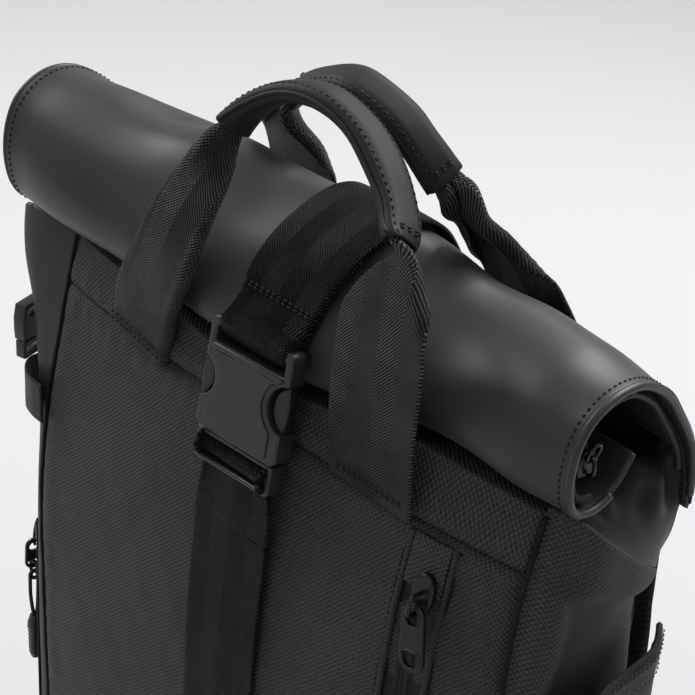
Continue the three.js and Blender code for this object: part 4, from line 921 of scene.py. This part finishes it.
# ------------------------------------------------------------------ handles
FRONT = np.array([(-65.5, -1.3, 1, 1, -.01, 0, 29, 1.8), (-62, -3.2, 14, 1, 0, 0, 30, 1.8), (-55.5, -6.2, 30, 1, 0, 0, 30, 1.8), (-47, -6.4, 50, 1, .05, 0, 28, 1.8),
                  (-43, -1.5, 68, 1, .25, .1, 24, 2.4), (-40, 8.5, 84, .8, .6, .2, 17, 3), (-37.5, 17.5, 98, .3, 1, 0, 9.4, 2.4), (-29, 22.3, 109.5, .1, 1, -.1, 9.4, 2.4),
                  (-14, 23.5, 118.5, 0, 1, -.2, 9.4, 2.4), (3, 23.5, 121.5, 0, 1, -.2, 9.4, 2.4), (20, 22.5, 117.5, 0, 1, -.2, 9.4, 2.4), (35, 19, 109, -.1, 1, -.1, 9.4, 2.4),
                  (46.5, 13.5, 101, -.3, 1, 0, 9.4, 2.4), (54, 7, 95, -.4, 1, .1, 9.4, 2.4), (57.5, 1, 87.5, -1, .25, .2, 20, 2.6), (59.5, -3.6, 74, -1, .05, 0, 35.5, 1.8),
                  (60, -4.8, 52, -1, 0, 0, 38, 1.8), (59.5, -4.6, 32, -1, 0, 0, 38, 1.8), (59, -2.6, 14, -1, 0, 0, 38, 1.8), (59, -1, 1, -1, .02, 0, 38, 1.8)], float)
BACK = np.array([(-59, 93.6, -14, 1, 0, 0, 38, 1.8), (-59, 91.4, 2, 1, 0, 0, 38, 1.8), (-64, 88.5, 28, 1, 0, 0, 38, 1.8), (-64, 81, 52, 1, -.05, 0, 38, 1.8),
                 (-57, 70, 72, 1, -.2, .3, 33, 2.2), (-49, 60, 88, .8, -.5, .4, 22, 3), (-40, 52, 101, .3, -1, -.2, 9.4, 2.4), (-26, 47, 111.5, .1, -1, -.2, 9.4, 2.4),
                 (-10, 45, 118.5, 0, -1, -.2, 9.4, 2.4), (4, 45, 118, 0, -1, -.2, 9.4, 2.4), (16, 46, 113, 0, -1, -.2, 9.4, 2.4), (24.5, 48, 105.5, -.1, -1, -.2, 9.4, 2.4),
                 (32.5, 52, 95.5, -.3, -1, -.2, 9.4, 2.4), (38.5, 58.5, 85.5, -.8, -.5, .4, 17, 3), (43.5, 67.5, 74.5, -1, -.2, .3, 25, 2.4), (51, 79.5, 54, -1, 0, 0, 38, 1.8),
                 (59, 88, 29, -1, 0, 0, 38, 1.8), (59, 91.4, 2, -1, 0, 0, 38, 1.8), (59, 93.6, -14, -1, 0, 0, 38, 1.8)], float)


def ribbon_frames(rows_, per=8):
    rows_ = rows_.copy()
    for i in range(1, len(rows_)):
        if rows_[i, 3:6] @ rows_[i - 1, 3:6] < 0:
            rows_[i, 3:6] *= -1
    rows_[:, 3:6] = unit(rows_[:, 3:6])
    q = refine(rows_, per)
    T = unit(np.gradient(q[:, :3], axis=0))
    W = unit(q[:, 3:6] - T * np.sum(q[:, 3:6] * T, 1, keepdims=True))
    return q[:, :3], T, W, unit(np.cross(T, W)), q[:, 6], q[:, 7]


def strap(name, rows_, replaces, full=38.0, turn=1.0, mat="webbing", cols=27, per=8, cup=0.0, wave=0.0):
    """Webbing along a table. Where it is narrower than its cloth its edges fold behind."""
    p, T, W, N, w, t = ribbon_frames(rows_, per)
    s = np.linspace(-full / 2, full / 2, cols)
    out = np.zeros((len(p), cols, 3))
    for i in range(len(p)):
        wi = min(w[i], full)
        hidden = (full - wi) / 2
        rho = min(max(0.13 * wi, 1.2), 2.3)
        a0 = max(wi / 2 - rho, 0.5)
        e = np.abs(s) - a0
        ph = np.clip(e / rho, 0, math.pi)
        uu = np.where(e < 0, np.abs(s), a0 + rho * np.sin(ph) - np.maximum(e - math.pi * rho, 0))
        nn = np.where(e < 0, 0, rho * (1 - np.cos(ph))) - min(1.0, max(0, (12 - wi) / 2)) * 1.2
        m_ = float(smooth(hidden / 3.0))
        flat_u = np.abs(s) * wi / full
        u_ = np.sign(s) * ((1 - m_) * flat_u + m_ * np.maximum(uu, 0.3))
        n_ = m_ * nn + cup * (s / (full / 2)) ** 2
        out[i] = p[i] + W[i] * u_[:, None] + N[i] * (turn * n_)[:, None]
    out += N[:, None] * (wave * np.sin(np.linspace(0, 9, len(p))))[:, None, None]
    d = np.r_[0, np.cumsum(np.linalg.norm(np.diff(p, axis=0), axis=1))]
    uv = np.stack(np.broadcast_arrays(s[None, :], d[:, None]), -1)
    NN = normals(out)
    thick = np.interp(np.arange(len(p)), np.arange(len(p)), np.minimum(t, 1.8))
    half = (thick / 2)[:, None, None]
    A, B = out + NN * half, out - NN * half
    v, f, li = closed(A, B)
    U = uv.reshape(-1, 2)
    return make(name, v, f, mat, np.concatenate([U, U, uv[li[:, 0], li[:, 1]]]), "pack", replaces), (p, T, W, N, w, d)


def grip(name, rows_, replaces, back):
    q = refine(rows_, 8)
    p, T, W, N, w, t = ribbon_frames(rows_)
    i0, i1 = 6 * 8, (12 if back else 13) * 8
    p, T, W, N = p[i0:i1 + 1], T[i0:i1 + 1], W[i0:i1 + 1], N[i0:i1 + 1]
    n = len(p)
    u = np.linspace(0, 1, n)
    a = np.linspace(0, 2 * math.pi, 40, endpoint=False)
    ca, sa = np.cos(a), np.sin(a)
    sx = np.sign(ca) * np.abs(ca) ** 0.55
    sy = np.sign(sa) * np.abs(sa) ** 0.7
    W_, T_ = 7.7, 4.0
    swell = 1 + 0.03 * np.sin(u * 21) * np.sin(u * math.pi)
    sink = 0.3 * np.exp(-((np.abs(sx) - 0.72) / 0.1) ** 2)
    V = p[:, None] + W[:, None] * (sx[None, :, None] * W_ * swell[:, None, None]) + N[:, None] * ((sy * (T_ - sink))[None, :, None] * swell[:, None, None])
    parts_v = [V]
    # ends: roll in over the edge and into the sleeve
    def ring_at(i, off, sc):
        return p[i] + T[i] * off + (V[i] - p[i]) * sc
    first = [ring_at(0, 1.6, 0.70), ring_at(0, -0.2, 0.74), ring_at(0, -0.7, 0.86), ring_at(0, -0.5, 0.97)]
    last = [ring_at(-1, 0.5, 0.97), ring_at(-1, 0.7, 0.86), ring_at(-1, 0.2, 0.74), ring_at(-1, -1.6, 0.70)]
    allr = np.concatenate([np.array(first), V, np.array(last)])
    k = len(a)
    i = np.arange(allr.shape[0] * k).reshape(-1, k)
    j = np.roll(i, -1, 1)
    f = np.stack([i[:-1], i[1:], j[1:], j[:-1]], -1).reshape(-1, 4).tolist() + [i[0].tolist(), i[-1][::-1].tolist()]
    vol = 0
    o = make(name, allr.reshape(-1, 3), f, "hide", None, "pack", replaces)
    bm_fix(o)
    side = 1.0 if back else -1.0
    # raised seam along one edge and the topstitching beside it
    tube(name + "_seam", p + W * side * 7.9, 0.8, "hide", 8, squash=1.0)
    up = np.sign(N[n // 2][2])
    topn = N * up
    s_lines = []
    for off in (side * 5.7,) if back else (5.7, -5.7):
        s_lines.append((p + W * off + topn * 3.3, unit(topn + W * 0.35 * np.sign(off))))
    stitches(name + "_stitches", s_lines, 3.0, 2.0, 0.28, 0.0)
    return o


def bm_fix(o):
    import bmesh
    bm = bmesh.new()
    bm.from_mesh(o.data)
    bmesh.ops.recalc_face_normals(bm, faces=bm.faces)
    bm.to_mesh(o.data)
    bm.free()


_, fr = strap("front_handle_strap", FRONT, "front_handle_webbing", turn=1.0)
grip("front_handle_cover", FRONT, "front_handle_grip", False)
_, bk = strap("back_handle_strap", BACK, "back_handle_webbing", turn=-1.0)
grip("back_handle_cover", BACK, "back_handle_grip", True)
# box of stitches where each leg is sewn down, and bars of thread at the covers' ends
lines = []
for (p, T, W, N, w, d), face in ((fr, -1.0), (bk, 1.0)):
    for end in (0, 1):
        for dist in ((4, 7) if face < 0 else (4, 30)):
            i = int(np.argmin(np.abs((d if end == 0 else d[-1] - d) - dist)))
            s = np.linspace(-16, 16, 12)
            c_ = p[i] + np.array([0, face * 1.0, 0])
            lines.append((c_ + W[i] * s[:, None], np.tile([0, face, 0.0], (12, 1))))
for (p, T, W, N, w, d) in (fr, bk):
    for i in (50, 94 if p is bk[0] else 102):
        s = np.linspace(-5, 5, 8)
        upn = N[i] * np.sign(N[i][2])
        for k2 in (0, 1.3):
            lines.append((p[i] + T[i] * (k2 if i < 60 else -k2) * 1.0 + upn * 3.95 + W[i] * s[:, None], np.tile(upn, (8, 1))))
stitches("handle_stitches", lines, 2.6, 2.0, 0.36, 0.15)

# ------------------------------------------------------------------ closing strap and buckle
UP = np.array([(3.4, -1, 42.9, 1, 0, .03, 34, 3.2), (3.4, 2.2, 47.4, 1, 0, .02, 34.5, 3.2), (3.4, 8, 55.8, 1, 0, 0, 35.5, 3.2), (3.6, 14.8, 62.6, 1, 0, 0, 36, 3), (3.8, 24.3, 68.5, 1, 0, 0, 36.5, 1.8),
               (4, 35.5, 73.2, 1, 0, 0, 37, 1.8), (4, 47.3, 75.2, 1, 0, 0, 37, 1.8), (4, 58.5, 72.9, 1, 0, 0, 37, 1.8), (4, 68.5, 66.3, 1, 0, 0, 37, 1.8), (4, 76.3, 56.5, 1, 0, 0, 37, 1.8),
               (4, 82.8, 44, 1, 0, 0, 37, 1.8), (4, 87.6, 28, 1, 0, 0, 37, 1.8), (4, 90.2, 6, 1, 0, 0, 37, 1.8), (4, 93.9, -18, 1, 0, 0, 37, 1.8)], float)
BU = np.array([0.998, 0.02, 0.03])
BU /= np.linalg.norm(BU)
BV = np.array([0, 0.193, 0.981])
BV -= BU * (BV @ BU)
BV /= np.linalg.norm(BV)
BN = np.cross(BU, BV)      # out of the buckle's face is -BN when it points back
if BN[1] > 0:
    BO = -BN
else:
    BO = BN
BA = np.array([3.4, -11.3, 14.0])


def bat(a, b, c=0.0):
    """Point on the buckle: across, up, and out of its front face."""
    return BA + BU * a + BV * b + BO * c


# upper webbing: out of the slot, over the bar, doubled to its cross seam, over the roll
loop_up = [tuple(bat(0, 20.6, 0.9)) + (1, 0, .03, 33.6, 1.8), tuple(bat(0, 24.5, 1.2)) + (1, 0, .03, 33.6, 1.8), tuple(bat(0, 28.6, -0.4)) + (1, 0, .03, 33.8, 1.8)]
main = np.array([tuple(bat(0, 20.0, -3.4)) + (1, 0, .03, 33.4, 1.8), tuple(bat(0, 22.4, -0.6)) + (1, 0, .03, 33.4, 1.8), tuple(bat(0, 26.8, 0.7)) + (1, 0, .03, 33.6, 1.8), tuple(bat(0, 31.5, -4.2)) + (1, 0, .03, 33.8, 1.8)], float)
up_rows = np.concatenate([main, UP[1:] + np.array([0, -0.35, 0.75, 0, 0, 0, 0, 0]) * np.r_[[1.0] * 4, [0.3], [0.0] * 8][:, None]])
_, up_fr = strap("closing_strap_upper", up_rows, "strap_upper", full=37.6, mat="webbing_painted_shade", cup=0.5, per=8)
low = UP[:5].copy()
low[:, 1] += 0.9
low[:, 2] -= 1.1
low = np.concatenate([[list(bat(0, 19.2, -6.6)) + [1, 0, .03, 33.4, 1.8], list(bat(0, 26.5, -7.4)) + [1, 0, .03, 33.6, 1.8]], low[1:]])
strap("closing_strap_fold", low, (), full=37, mat="webbing_painted_shade", per=6)
p, T, W, N, w, d = up_fr
face = -1.0 if N[len(N) // 3][1] > 0 else 1.0
i = int(np.argmin(np.abs(p[:, 1] - 3.6) + (p[:, 2] < 44) * 99))
lines = []
for off in (0.0, 1.6):
    s = np.linspace(-17, 17, 14)
    j = i + int(off)
    lines.append((p[j] + N[j] * face * 1.05 + W[j] * s[:, None] + T[j] * 0.0, np.tile(N[j] * face, (14, 1))))
stitches("strap_cross_stitches", lines, 2.7, 2.0, 0.42, 0.2)
# lower webbing through the plug's bars and down the front
LZ = np.array([(-17.4, 9.0, 3.2), (-26, 7.4, 2.8), (-40, 4.4, 2.0), (-58, 2.4, 1.0), (-80, 1.55, 0.3), (-120, 1.45, 0), (-200, 1.5, 0), (-290, 1.5, 0), (-345, 1.6, 0), (-368, 1.7, 0)], float)
zl = np.concatenate([np.linspace(-34, -60, 14), np.linspace(-63, -368, 110)])
lz = LZ[::-1]
lift, lx = cr(lz[:, 0], lz[:, 1], zl), cr(lz[:, 0], lz[:, 2], zl)
body_pts = np.stack([lx, front_y(0, zl) - lift - 0.1, zl], -1)
head = np.array([bat(0, -18.6, -6.6), bat(0, -20.2, -4.0), bat(0, -22.0, -0.9), bat(0, -24.2, -0.9), bat(0, -26.2, -3.6), bat(0, -30.5, -6.2)])
allp = np.concatenate([head, body_pts[2:]])
rows_l = np.c_[allp, np.tile([1, 0, 0], (len(allp), 1)), np.r_[[33.2] * 5, [34.5], np.full(len(allp) - 6, 38.0)], np.full(len(allp), 1.8)]
strap("closing_strap_lower", rows_l, "strap_lower", mat="webbing_painted_shade", per=2, cols=27, cup=-0.15)
# path of a second layer that would double the webbing below the buckle; it is computed but not built
zt = np.linspace(-36, -92, 30)
tail = np.stack([cr(lz[:, 0], lz[:, 2], zt), front_y(0, zt) - cr(lz[:, 0], lz[:, 1], zt) - 0.1, zt], -1)

# buckle: socket
B_OUT = ([(-18.5, -17), (18.5, -17), (20.5, -14.5)] + arc(21.5, 5.2, 9.5, 264, 96, 14) + [(20.5, 23.5)] + arc(17.5, 24, 3, 0, 90, 5) + arc(-17.5, 24, 3, 90, 180, 5)
         + [(-20.5, 14)] + arc(-23, 3, 8.5, 73, -73, 12) + [(-20.5, -14.5)])
slot_hole = rrect(-17.2, 17.3, 17.2, 23.4, 0.9, 3)[::-1]
plate("buckle_socket", B_OUT, [slot_hole], 8.4, BA - BO * 4.2, BU, BV if np.dot(np.cross(BU, BV), BO) > 0 else BV, "plastic", 1.0, replaces="buckle_female", res=3)
# raised field on the socket's face and the lip under the slot
face_out = ([(-15.8, -14.2), (15.8, -14.2)] + arc(21.5, 5.2, 11.6, 240, 118, 10) + [(16.2, 14.6), (-16.2, 14.6)] + arc(-23, 3, 10.8, 52, -52, 8))
plate("buckle_field", face_out, [], 1.0, BA + BO * 0.12, BU, BV, "plastic", 0.42, res=3)
plate("buckle_lip", rrect(-17.6, 14.9, 17.6, 17.1, 0.8, 3), [], 1.6, BA + BO * 0.1, BU, BV, "plastic", 0.7, res=3)
# plug: frame with two windows, prongs that show in the finger cuts
plug_out = arc(-17.3, -27.5, 2, 180, 270, 5) + arc(17.3, -27.5, 2, 270, 360, 5) + [(19.3, -17.4), (-19.3, -17.4)]
plate("buckle_plug", plug_out, [rrect(-16.8, -21.6, 16.8, -18.4, 0.6, 2)[::-1], rrect(-16.8, -27.6, 16.8, -24.4, 0.6, 2)[::-1]], 7.0, BA - BO * 4.2, BU, BV, "plastic", 0.95, replaces="buckle_male", res=3)
# the prongs use the darker plastic: painted shade in the finger cuts
for s, (cx, cy, r) in ((1, (21.5, 5.2, 9.2)), (-1, (-23, 3, 8.2))):
    pr = arc(cx, cy, r * 0.86, 108, 252, 12, r * 1.0) if s > 0 else arc(cx, cy, r * 0.86, -72, 72, 12, r * 1.0)
    tip = [(cx - s * 1.5, pr[-1][1]), (cx - s * 0.4, cy), (cx - s * 1.5, pr[0][1])]
    plate("buckle_prong_" + ("right" if s > 0 else "left"), pr + tip, [], 5.0, BA - BO * 4.3, BU, BV, "plastic_painted_shade", 0.9, res=3)

# ------------------------------------------------------------------ front pocket zip
ZL, ZR, ZTOP, ZLOW = 79.4, 96.4, -2.5, -330
z = np.linspace(ZLOW, ZTOP, 220)
for nm, xc, rep in (("left", ZL - 0.6, "zip_welt_left"), ("right", ZR + 0.6, "zip_welt_right")):
    pts = np.stack([xc + 0.12 * np.sin(z / 13), front_y(xc, z) - 0.9 - 0.1 * np.sin(z / 7), z], -1)
    tube("zip_welt_tube_" + nm, pts, 1.25, "cordura_fine", 10, rep, squash=1.0)
lines = []
for xc in (ZL - 3.3, ZR + 3.4):
    lines.append((np.stack([xc + 0 * z, front_y(xc, z) + 0.12, z], -1), np.tile([0, -1.0, 0], (len(z), 1))))
stitches("zip_stitches", lines, 2.9, 2.1, 0.33, 0.12)
# sunk grooves outside the welts read as dark lines: a cord of shadow cloth
for xc in (ZL - 2.05, ZR + 2.05):
    tube("zip_groove_" + ("left" if xc < 88 else "right"), np.stack([xc + 0 * z, front_y(xc, z) - 0.1, z], -1), 0.7, "piping", 6)
xs_ = np.linspace(ZL + 0.6, ZR - 0.6, 24)
zt2 = np.linspace(ZLOW, ZTOP, 240)
Z3, X3 = np.meshgrid(zt2, xs_, indexing="ij")
coil = np.abs(X3 - 88.2)
tape = np.stack([X3, front_y(X3, Z3) - 0.35 - 0.75 * np.exp(-(coil / 2.6) ** 2) + 0.95 * np.exp(-(coil / 0.5) ** 2), Z3], -1)
sheet("zip_tape_cloth", tape, 0.5, (None, 60, None), "tape", "zip_tape")
lines = []
zc = np.linspace(ZLOW, -30, 180)
for off in (-2.3, 2.3):
    lines.append((np.stack([88.2 + off + 0 * zc, front_y(88.2, zc) - 1.05, zc], -1), np.tile([0, -1.0, 0], (len(zc), 1))))
stitches("zip_coil_stitches", lines, 1.5, 1.15, 0.26, 0.05, mat="thread")
# woven flap that covers the tape above the slider
Z4, X4 = np.meshgrid(np.linspace(-21.5, -2.2, 36), np.linspace(ZL + 0.9, ZR - 0.9, 28), indexing="ij")
flap = np.stack([X4, front_y(X4, Z4) - 1.75 - 0.5 * np.cos((X4 - 88) / 9 * 1.3) + 0.5 * smooth((Z4 + 6) / 5), Z4 - 0.16 * (X4 - 88) * smooth((-Z4 - 10) / 10) * 0.3], -1)
sheet("zip_flap", flap, 0.7, (None, 60, None), "cordura")

# slider and pull tab
PIV = np.array(frame["joints"][0]["pos_m"]) * 1000 - LIFT
AL = np.array([0.0, float(front_y(89.4, -11)) - float(front_y(89.4, -23)), 12.0])
AL /= np.linalg.norm(AL)
OFF = np.cross([1.0, 0, 0], AL)


def zat(a, b, c):
    """Point at the slider: across, up along the tape, out from the pivot."""
    return PIV + np.array([1.0, 0, 0]) * a + AL * b + OFF * c


body_out = arc(0, -4.5, 3.6, 200, 340, 8, 4.0) + [(4.6, -1), (4.3, 4)] + arc(0, 4.6, 3.4, 40, 140, 7, 3.4) + [(-4.3, 4), (-4.6, -1)]
plate("slider_body", body_out, [], 3.0, zat(0, 3.6, -3.6), (1, 0, 0), AL, "metal", 0.9, res=3, replaces="zip_slider")
bail = refine([zat(0, -3.9, -2.6), zat(0, -3.95, 0.8), zat(0, -2.9, 2.75), zat(0, 0.3, 3.05), zat(0, 3.2, 2.75), zat(0, 4.3, 0.8), zat(0, 4.3, -2.6)], 8)
tube("slider_bail", bail, 0.78, "metal", 12, squash=1.15, up=np.tile([1.0, 0, 0], (len(bail), 1)))
pull_out = arc(0, -4.2, 5.0, 0, 180, 16, 5.2) + arc(0, -19.6, 5.4, 180, 360, 16, 5.0)
pull_top = arc(0, -4.25, 3.0, 360, 15, 20, 3.25)
pull_low = ([(3.4, -17.4)] + [(-3.4, -17.4)] + arc(0, -19.8, 3.4, 180, 360, 10, 3.0))[::-1]
TURN = math.radians(13)
PX = np.array([1.0, 0, 0]) * math.cos(TURN) + AL * math.sin(TURN)
PA = AL * math.cos(TURN) - np.array([1.0, 0, 0]) * math.sin(TURN)
plate("pull_tab", pull_out, [pull_top, pull_low], 1.7, PIV, PX, PA, "metal", 0.42, body="zip_pull", replaces="zip_pull", res=3)
# rims of the two holes
for nm, lp in (("top", pull_top), ("low", pull_low)):
    q = np.array(lp + lp[:2])
    q = refine(q, 3)
    pts = PIV + PX * q[:, :1] * 1.12 + PA * ((q[:, 1:] - q[:, 1:].mean()) * 1.1 + q[:, 1:].mean()) + OFF * 0.78
    tube("pull_rim_" + nm, pts, 0.36, "metal", 8, body="zip_pull")

# ------------------------------------------------------------------ left side: webbing loop, small buckle, zip pull
LOOP = np.array([(-124.5, -4.2, -57, 0, 0, 1, 18, 1.6), (-131.5, -3.6, -57, 0, 0, 1, 18, 1.6), (-139, -1, -57, 0, 0, 1, 18, 1.6), (-144.8, 5, -57, 0, 0, 1, 18, 1.6), (-145.2, 13, -57, 0, 0, 1, 18, 1.6)], float)
strap("side_loop_webbing", LOOP, "side_loop", full=18, mat="webbing_small", cols=15, per=10)
su, sv, smid = np.array([-0.25, 0.97, 0]), np.array([0, 0, 1.0]), np.array([-147.6, 8, -33])
plate("side_plug", rrect(-7.5, -14, 7.5, -5, 1.2), [rrect(-5.6, -11.5, 5.6, -8.6, 0.5, 2)[::-1]], 5, smid, su, sv, "plastic", 0.8, replaces="side_buckle_male", res=3)
plate("side_socket", [(-7.5, -4.6), (7.5, -4.6), (8, 0), (8, 6), (6.5, 12), (-6.5, 12), (-8, 6), (-8, 0)], [rrect(-4.4, 6.6, 4.4, 9.4, 0.5, 2)[::-1]], 6, smid, su, sv, "plastic", 0.9, replaces="side_buckle_female", res=3)
plate("side_socket_window", rrect(-4.2, -3.2, 4.2, 4.6, 0.8), [rrect(-2.8, -1.8, 2.8, 3.2, 0.5)[::-1]], 0.9, smid + np.array([-3.0, -0.8, 0]), su, sv, "plastic", 0.35)
plate("side_slider", [(-3, -5.5), (3, -5.5), (3.6, 0), (3.6, 4), (1.6, 6), (-1.6, 6), (-3.6, 4), (-3.6, 0)], [], 3, (ZX, 8.6, -140), (0, 1, 0), (0, 0, 1), "metal", 0.9, replaces="side_zip_slider", res=3)
tube("side_slider_bail", refine([(ZX - 1.2, 8.6, -136.5), (ZX - 3.4, 8.3, -138), (ZX - 4.2, 7.6, -142), (ZX - 4.1, 6.9, -146.5), (ZX - 3.2, 6.2, -149.4), (ZX - 2.2, 5.8, -150.2)], 6), 0.7, "metal", 10)
po = arc(0, 4.6, 4, 0, 180, 12) + arc(0, -4.6, 4.4, 180, 360, 12, 3.6)
plate("side_pull", po, [arc(0, 4.2, 2.3, 360, 20, 14), rrect(-3.1, -5.8, 3.1, -3.4, 0.6, 2)[::-1]], 1.6, (ZX - 2.8, 5.4, -155), (0.2, 0.98, 0), (0, 0, 1), "metal", 0.4, replaces="side_zip_pull", res=3)
tube("cord_knot", refine([(ZX - 2.8, 3.6, -167.5), (ZX - 4.2, 5.2, -166.4), (ZX - 2.8, 7.2, -167.8), (ZX - 1.4, 5.5, -168.6), (ZX - 2.8, 3.8, -168.8)], 6), 0.9, "cord", 8)
# side zip: a narrow tape down the left gusset
zq = np.linspace(-330, -128, 120)
fq = np.full_like(zq, 0.055)
gp = gusset(-1, zq, fq)
tube("side_zip_tape", gp + np.array([-0.6, 0, 0]), 1.6, "tape", 8, squash=0.5, up=np.tile([-1.0, -0.3, 0], (len(zq), 1)))

# ------------------------------------------------------------------ right side: ribbed bottle pocket with its folded hem
cols = np.linspace(0.16, 0.93, 60)


def pocket_point(f, zlev, extra=0.0):
    p_ = gusset(1, zlev, f)
    mid = smooth((f - 0.16) / 0.12) * smooth((0.93 - f) / 0.12)
    near = smooth((zlev + 130) / 60)
    rear = 4.5 * near + 3.0 * (1 - near)
    middle = 1.5 * near + 8.0 * (1 - near)
    front = 5.0 * near + 8.0 * (1 - near)
    wide = np.where(f < 0.5, front + (middle - front) * smooth((f - 0.22) / 0.28), middle + (rear - middle) * smooth((f - 0.5) / 0.4))
    stand = (2.2 + (wide - 2.2) * smooth((f - 0.16) / 0.08)) * np.where(zlev < -340, 0.35, 1) + 0.8
    p_[..., 0] += 0.4 + stand + extra
    return p_


HEM = 12
ft, vt = np.meshgrid(cols, np.linspace(0, 1, 110), indexing="xy")
hem_top = -47 - 3 * ft
zp = -360 + (hem_top - HEM + 6 + 360) * vt
G = pocket_point(ft, zp)
G[..., 0] += 0.8 * np.sin(ft * 9) * smooth((zp + 340) / 60) + ripple(G, 77, 45, 0.6)
sheet("side_pocket_cloth", G, 1.6, (0, None, None), "cordura_fine", "side_pocket")
hv = np.linspace(0, 1, 16)
fh, vh = np.meshgrid(cols, hv, indexing="xy")
zh = -47 - 3 * fh - HEM * (1 - vh)
G = pocket_point(fh, zh, 0.9)
G[..., 0] += 0.5 * np.sin(vh * math.pi)
sheet("side_pocket_hem_cloth", G, 2.4, (0, None, None), "webbing_small", "side_pocket_hem")
hl = []
for dz in (1.6, 3.4, 10.6):
    q = pocket_point(cols, -47 - 3 * cols - dz, 1.25)
    hl.append((q, np.tile([1.0, 0, 0], (60, 1))))
stitches("side_pocket_stitches", hl, 2.6, 1.9, 0.33, 0.25)

# ------------------------------------------------------------------ end of the mouth's zip, in the open right end
MT = np.array([(103, 25, 52, 0, 1, .3, 12, 1.2), (112, 25, 49.5, .1, 1, .3, 12, 1.2), (119, 24.5, 46, .2, 1, .2, 11, 1.2), (121.5, 25.5, 40, .2, 1, 0, 9, 1.2)], float)
strap("mouth_zip_tape_cloth", MT, "mouth_zip_tape", full=12, mat="tape", cols=11, per=8)
plate("mouth_slider", [(-3.6, -5), (3.6, -5), (4.4, 0), (4.4, 2), (2.6, 5.5), (-2.6, 5.5), (-4.4, 2), (-4.4, 0)], [], 3, (125.4, 25, 40), (0.2, 1, 0), (0.1, 0, 1), "metal", 0.9, replaces="mouth_zip_slider", res=3)
tube("mouth_slider_bail", refine([(127.0, 25.2, 43.6), (128.8, 25.0, 42.5), (129.5, 24.9, 40), (129.0, 24.9, 37.4), (127.2, 25.1, 36.4)], 6), 0.75, "metal", 10)
th = np.linspace(0, 2 * math.pi, 30)
tube("mouth_slider_ring", np.stack([128.2 + 0.6 * np.cos(th), 25.0 + 3.1 * np.sin(th), 45.6 + 3.3 * np.cos(th)], -1), 0.7, "metal", 8)

# ------------------------------------------------------------------ floor, light
me = bpy.data.meshes.new("floor")
me.from_pydata([(-8, -8, 0), (8, -8, 0), (8, 8, 0), (-8, 8, 0)], [], [(0, 1, 2, 3)])
floor = bpy.data.objects.new("floor", me)
bpy.context.scene.collection.objects.link(floor)
fm = Mat("floor_paint", (0.575, 0.575, 0.58), 0.9, 0.1)
fm.shade(fm.noise(3, 2), 0.985, 1.0)
me.materials.append(fm.m)

world = bpy.data.worlds.new("studio")
bpy.context.scene.world = world
world.use_nodes = True
bg = world.node_tree.nodes["Background"]
bg.inputs[0].default_value = (0.93, 0.94, 0.96, 1)
bg.inputs[1].default_value = 0.42


def softbox(name, at, target, size, power, color=(1, 1, 1)):
    li = bpy.data.lights.new(name, "AREA")
    li.shape = "RECTANGLE"
    li.size, li.size_y = size
    li.energy = power
    li.color = color
    o = bpy.data.objects.new(name, li)
    bpy.context.scene.collection.objects.link(o)
    o.location = at
    o.rotation_mode = "QUATERNION"
    o.rotation_quaternion = (Vector(target) - Vector(at)).to_track_quat("-Z", "Y")
    return o


softbox("key_top_back", (0.0, 1.25, 1.6), (0, 0, 0.42), (1.3, 0.6), 36)
softbox("key_left", (-1.35, -0.2, 1.25), (0, 0, 0.4), (0.8, 0.9), 16)
softbox("fill_front", (0.3, -1.9, 1.3), (0, 0, 0.35), (1.0, 0.6), 3.0)
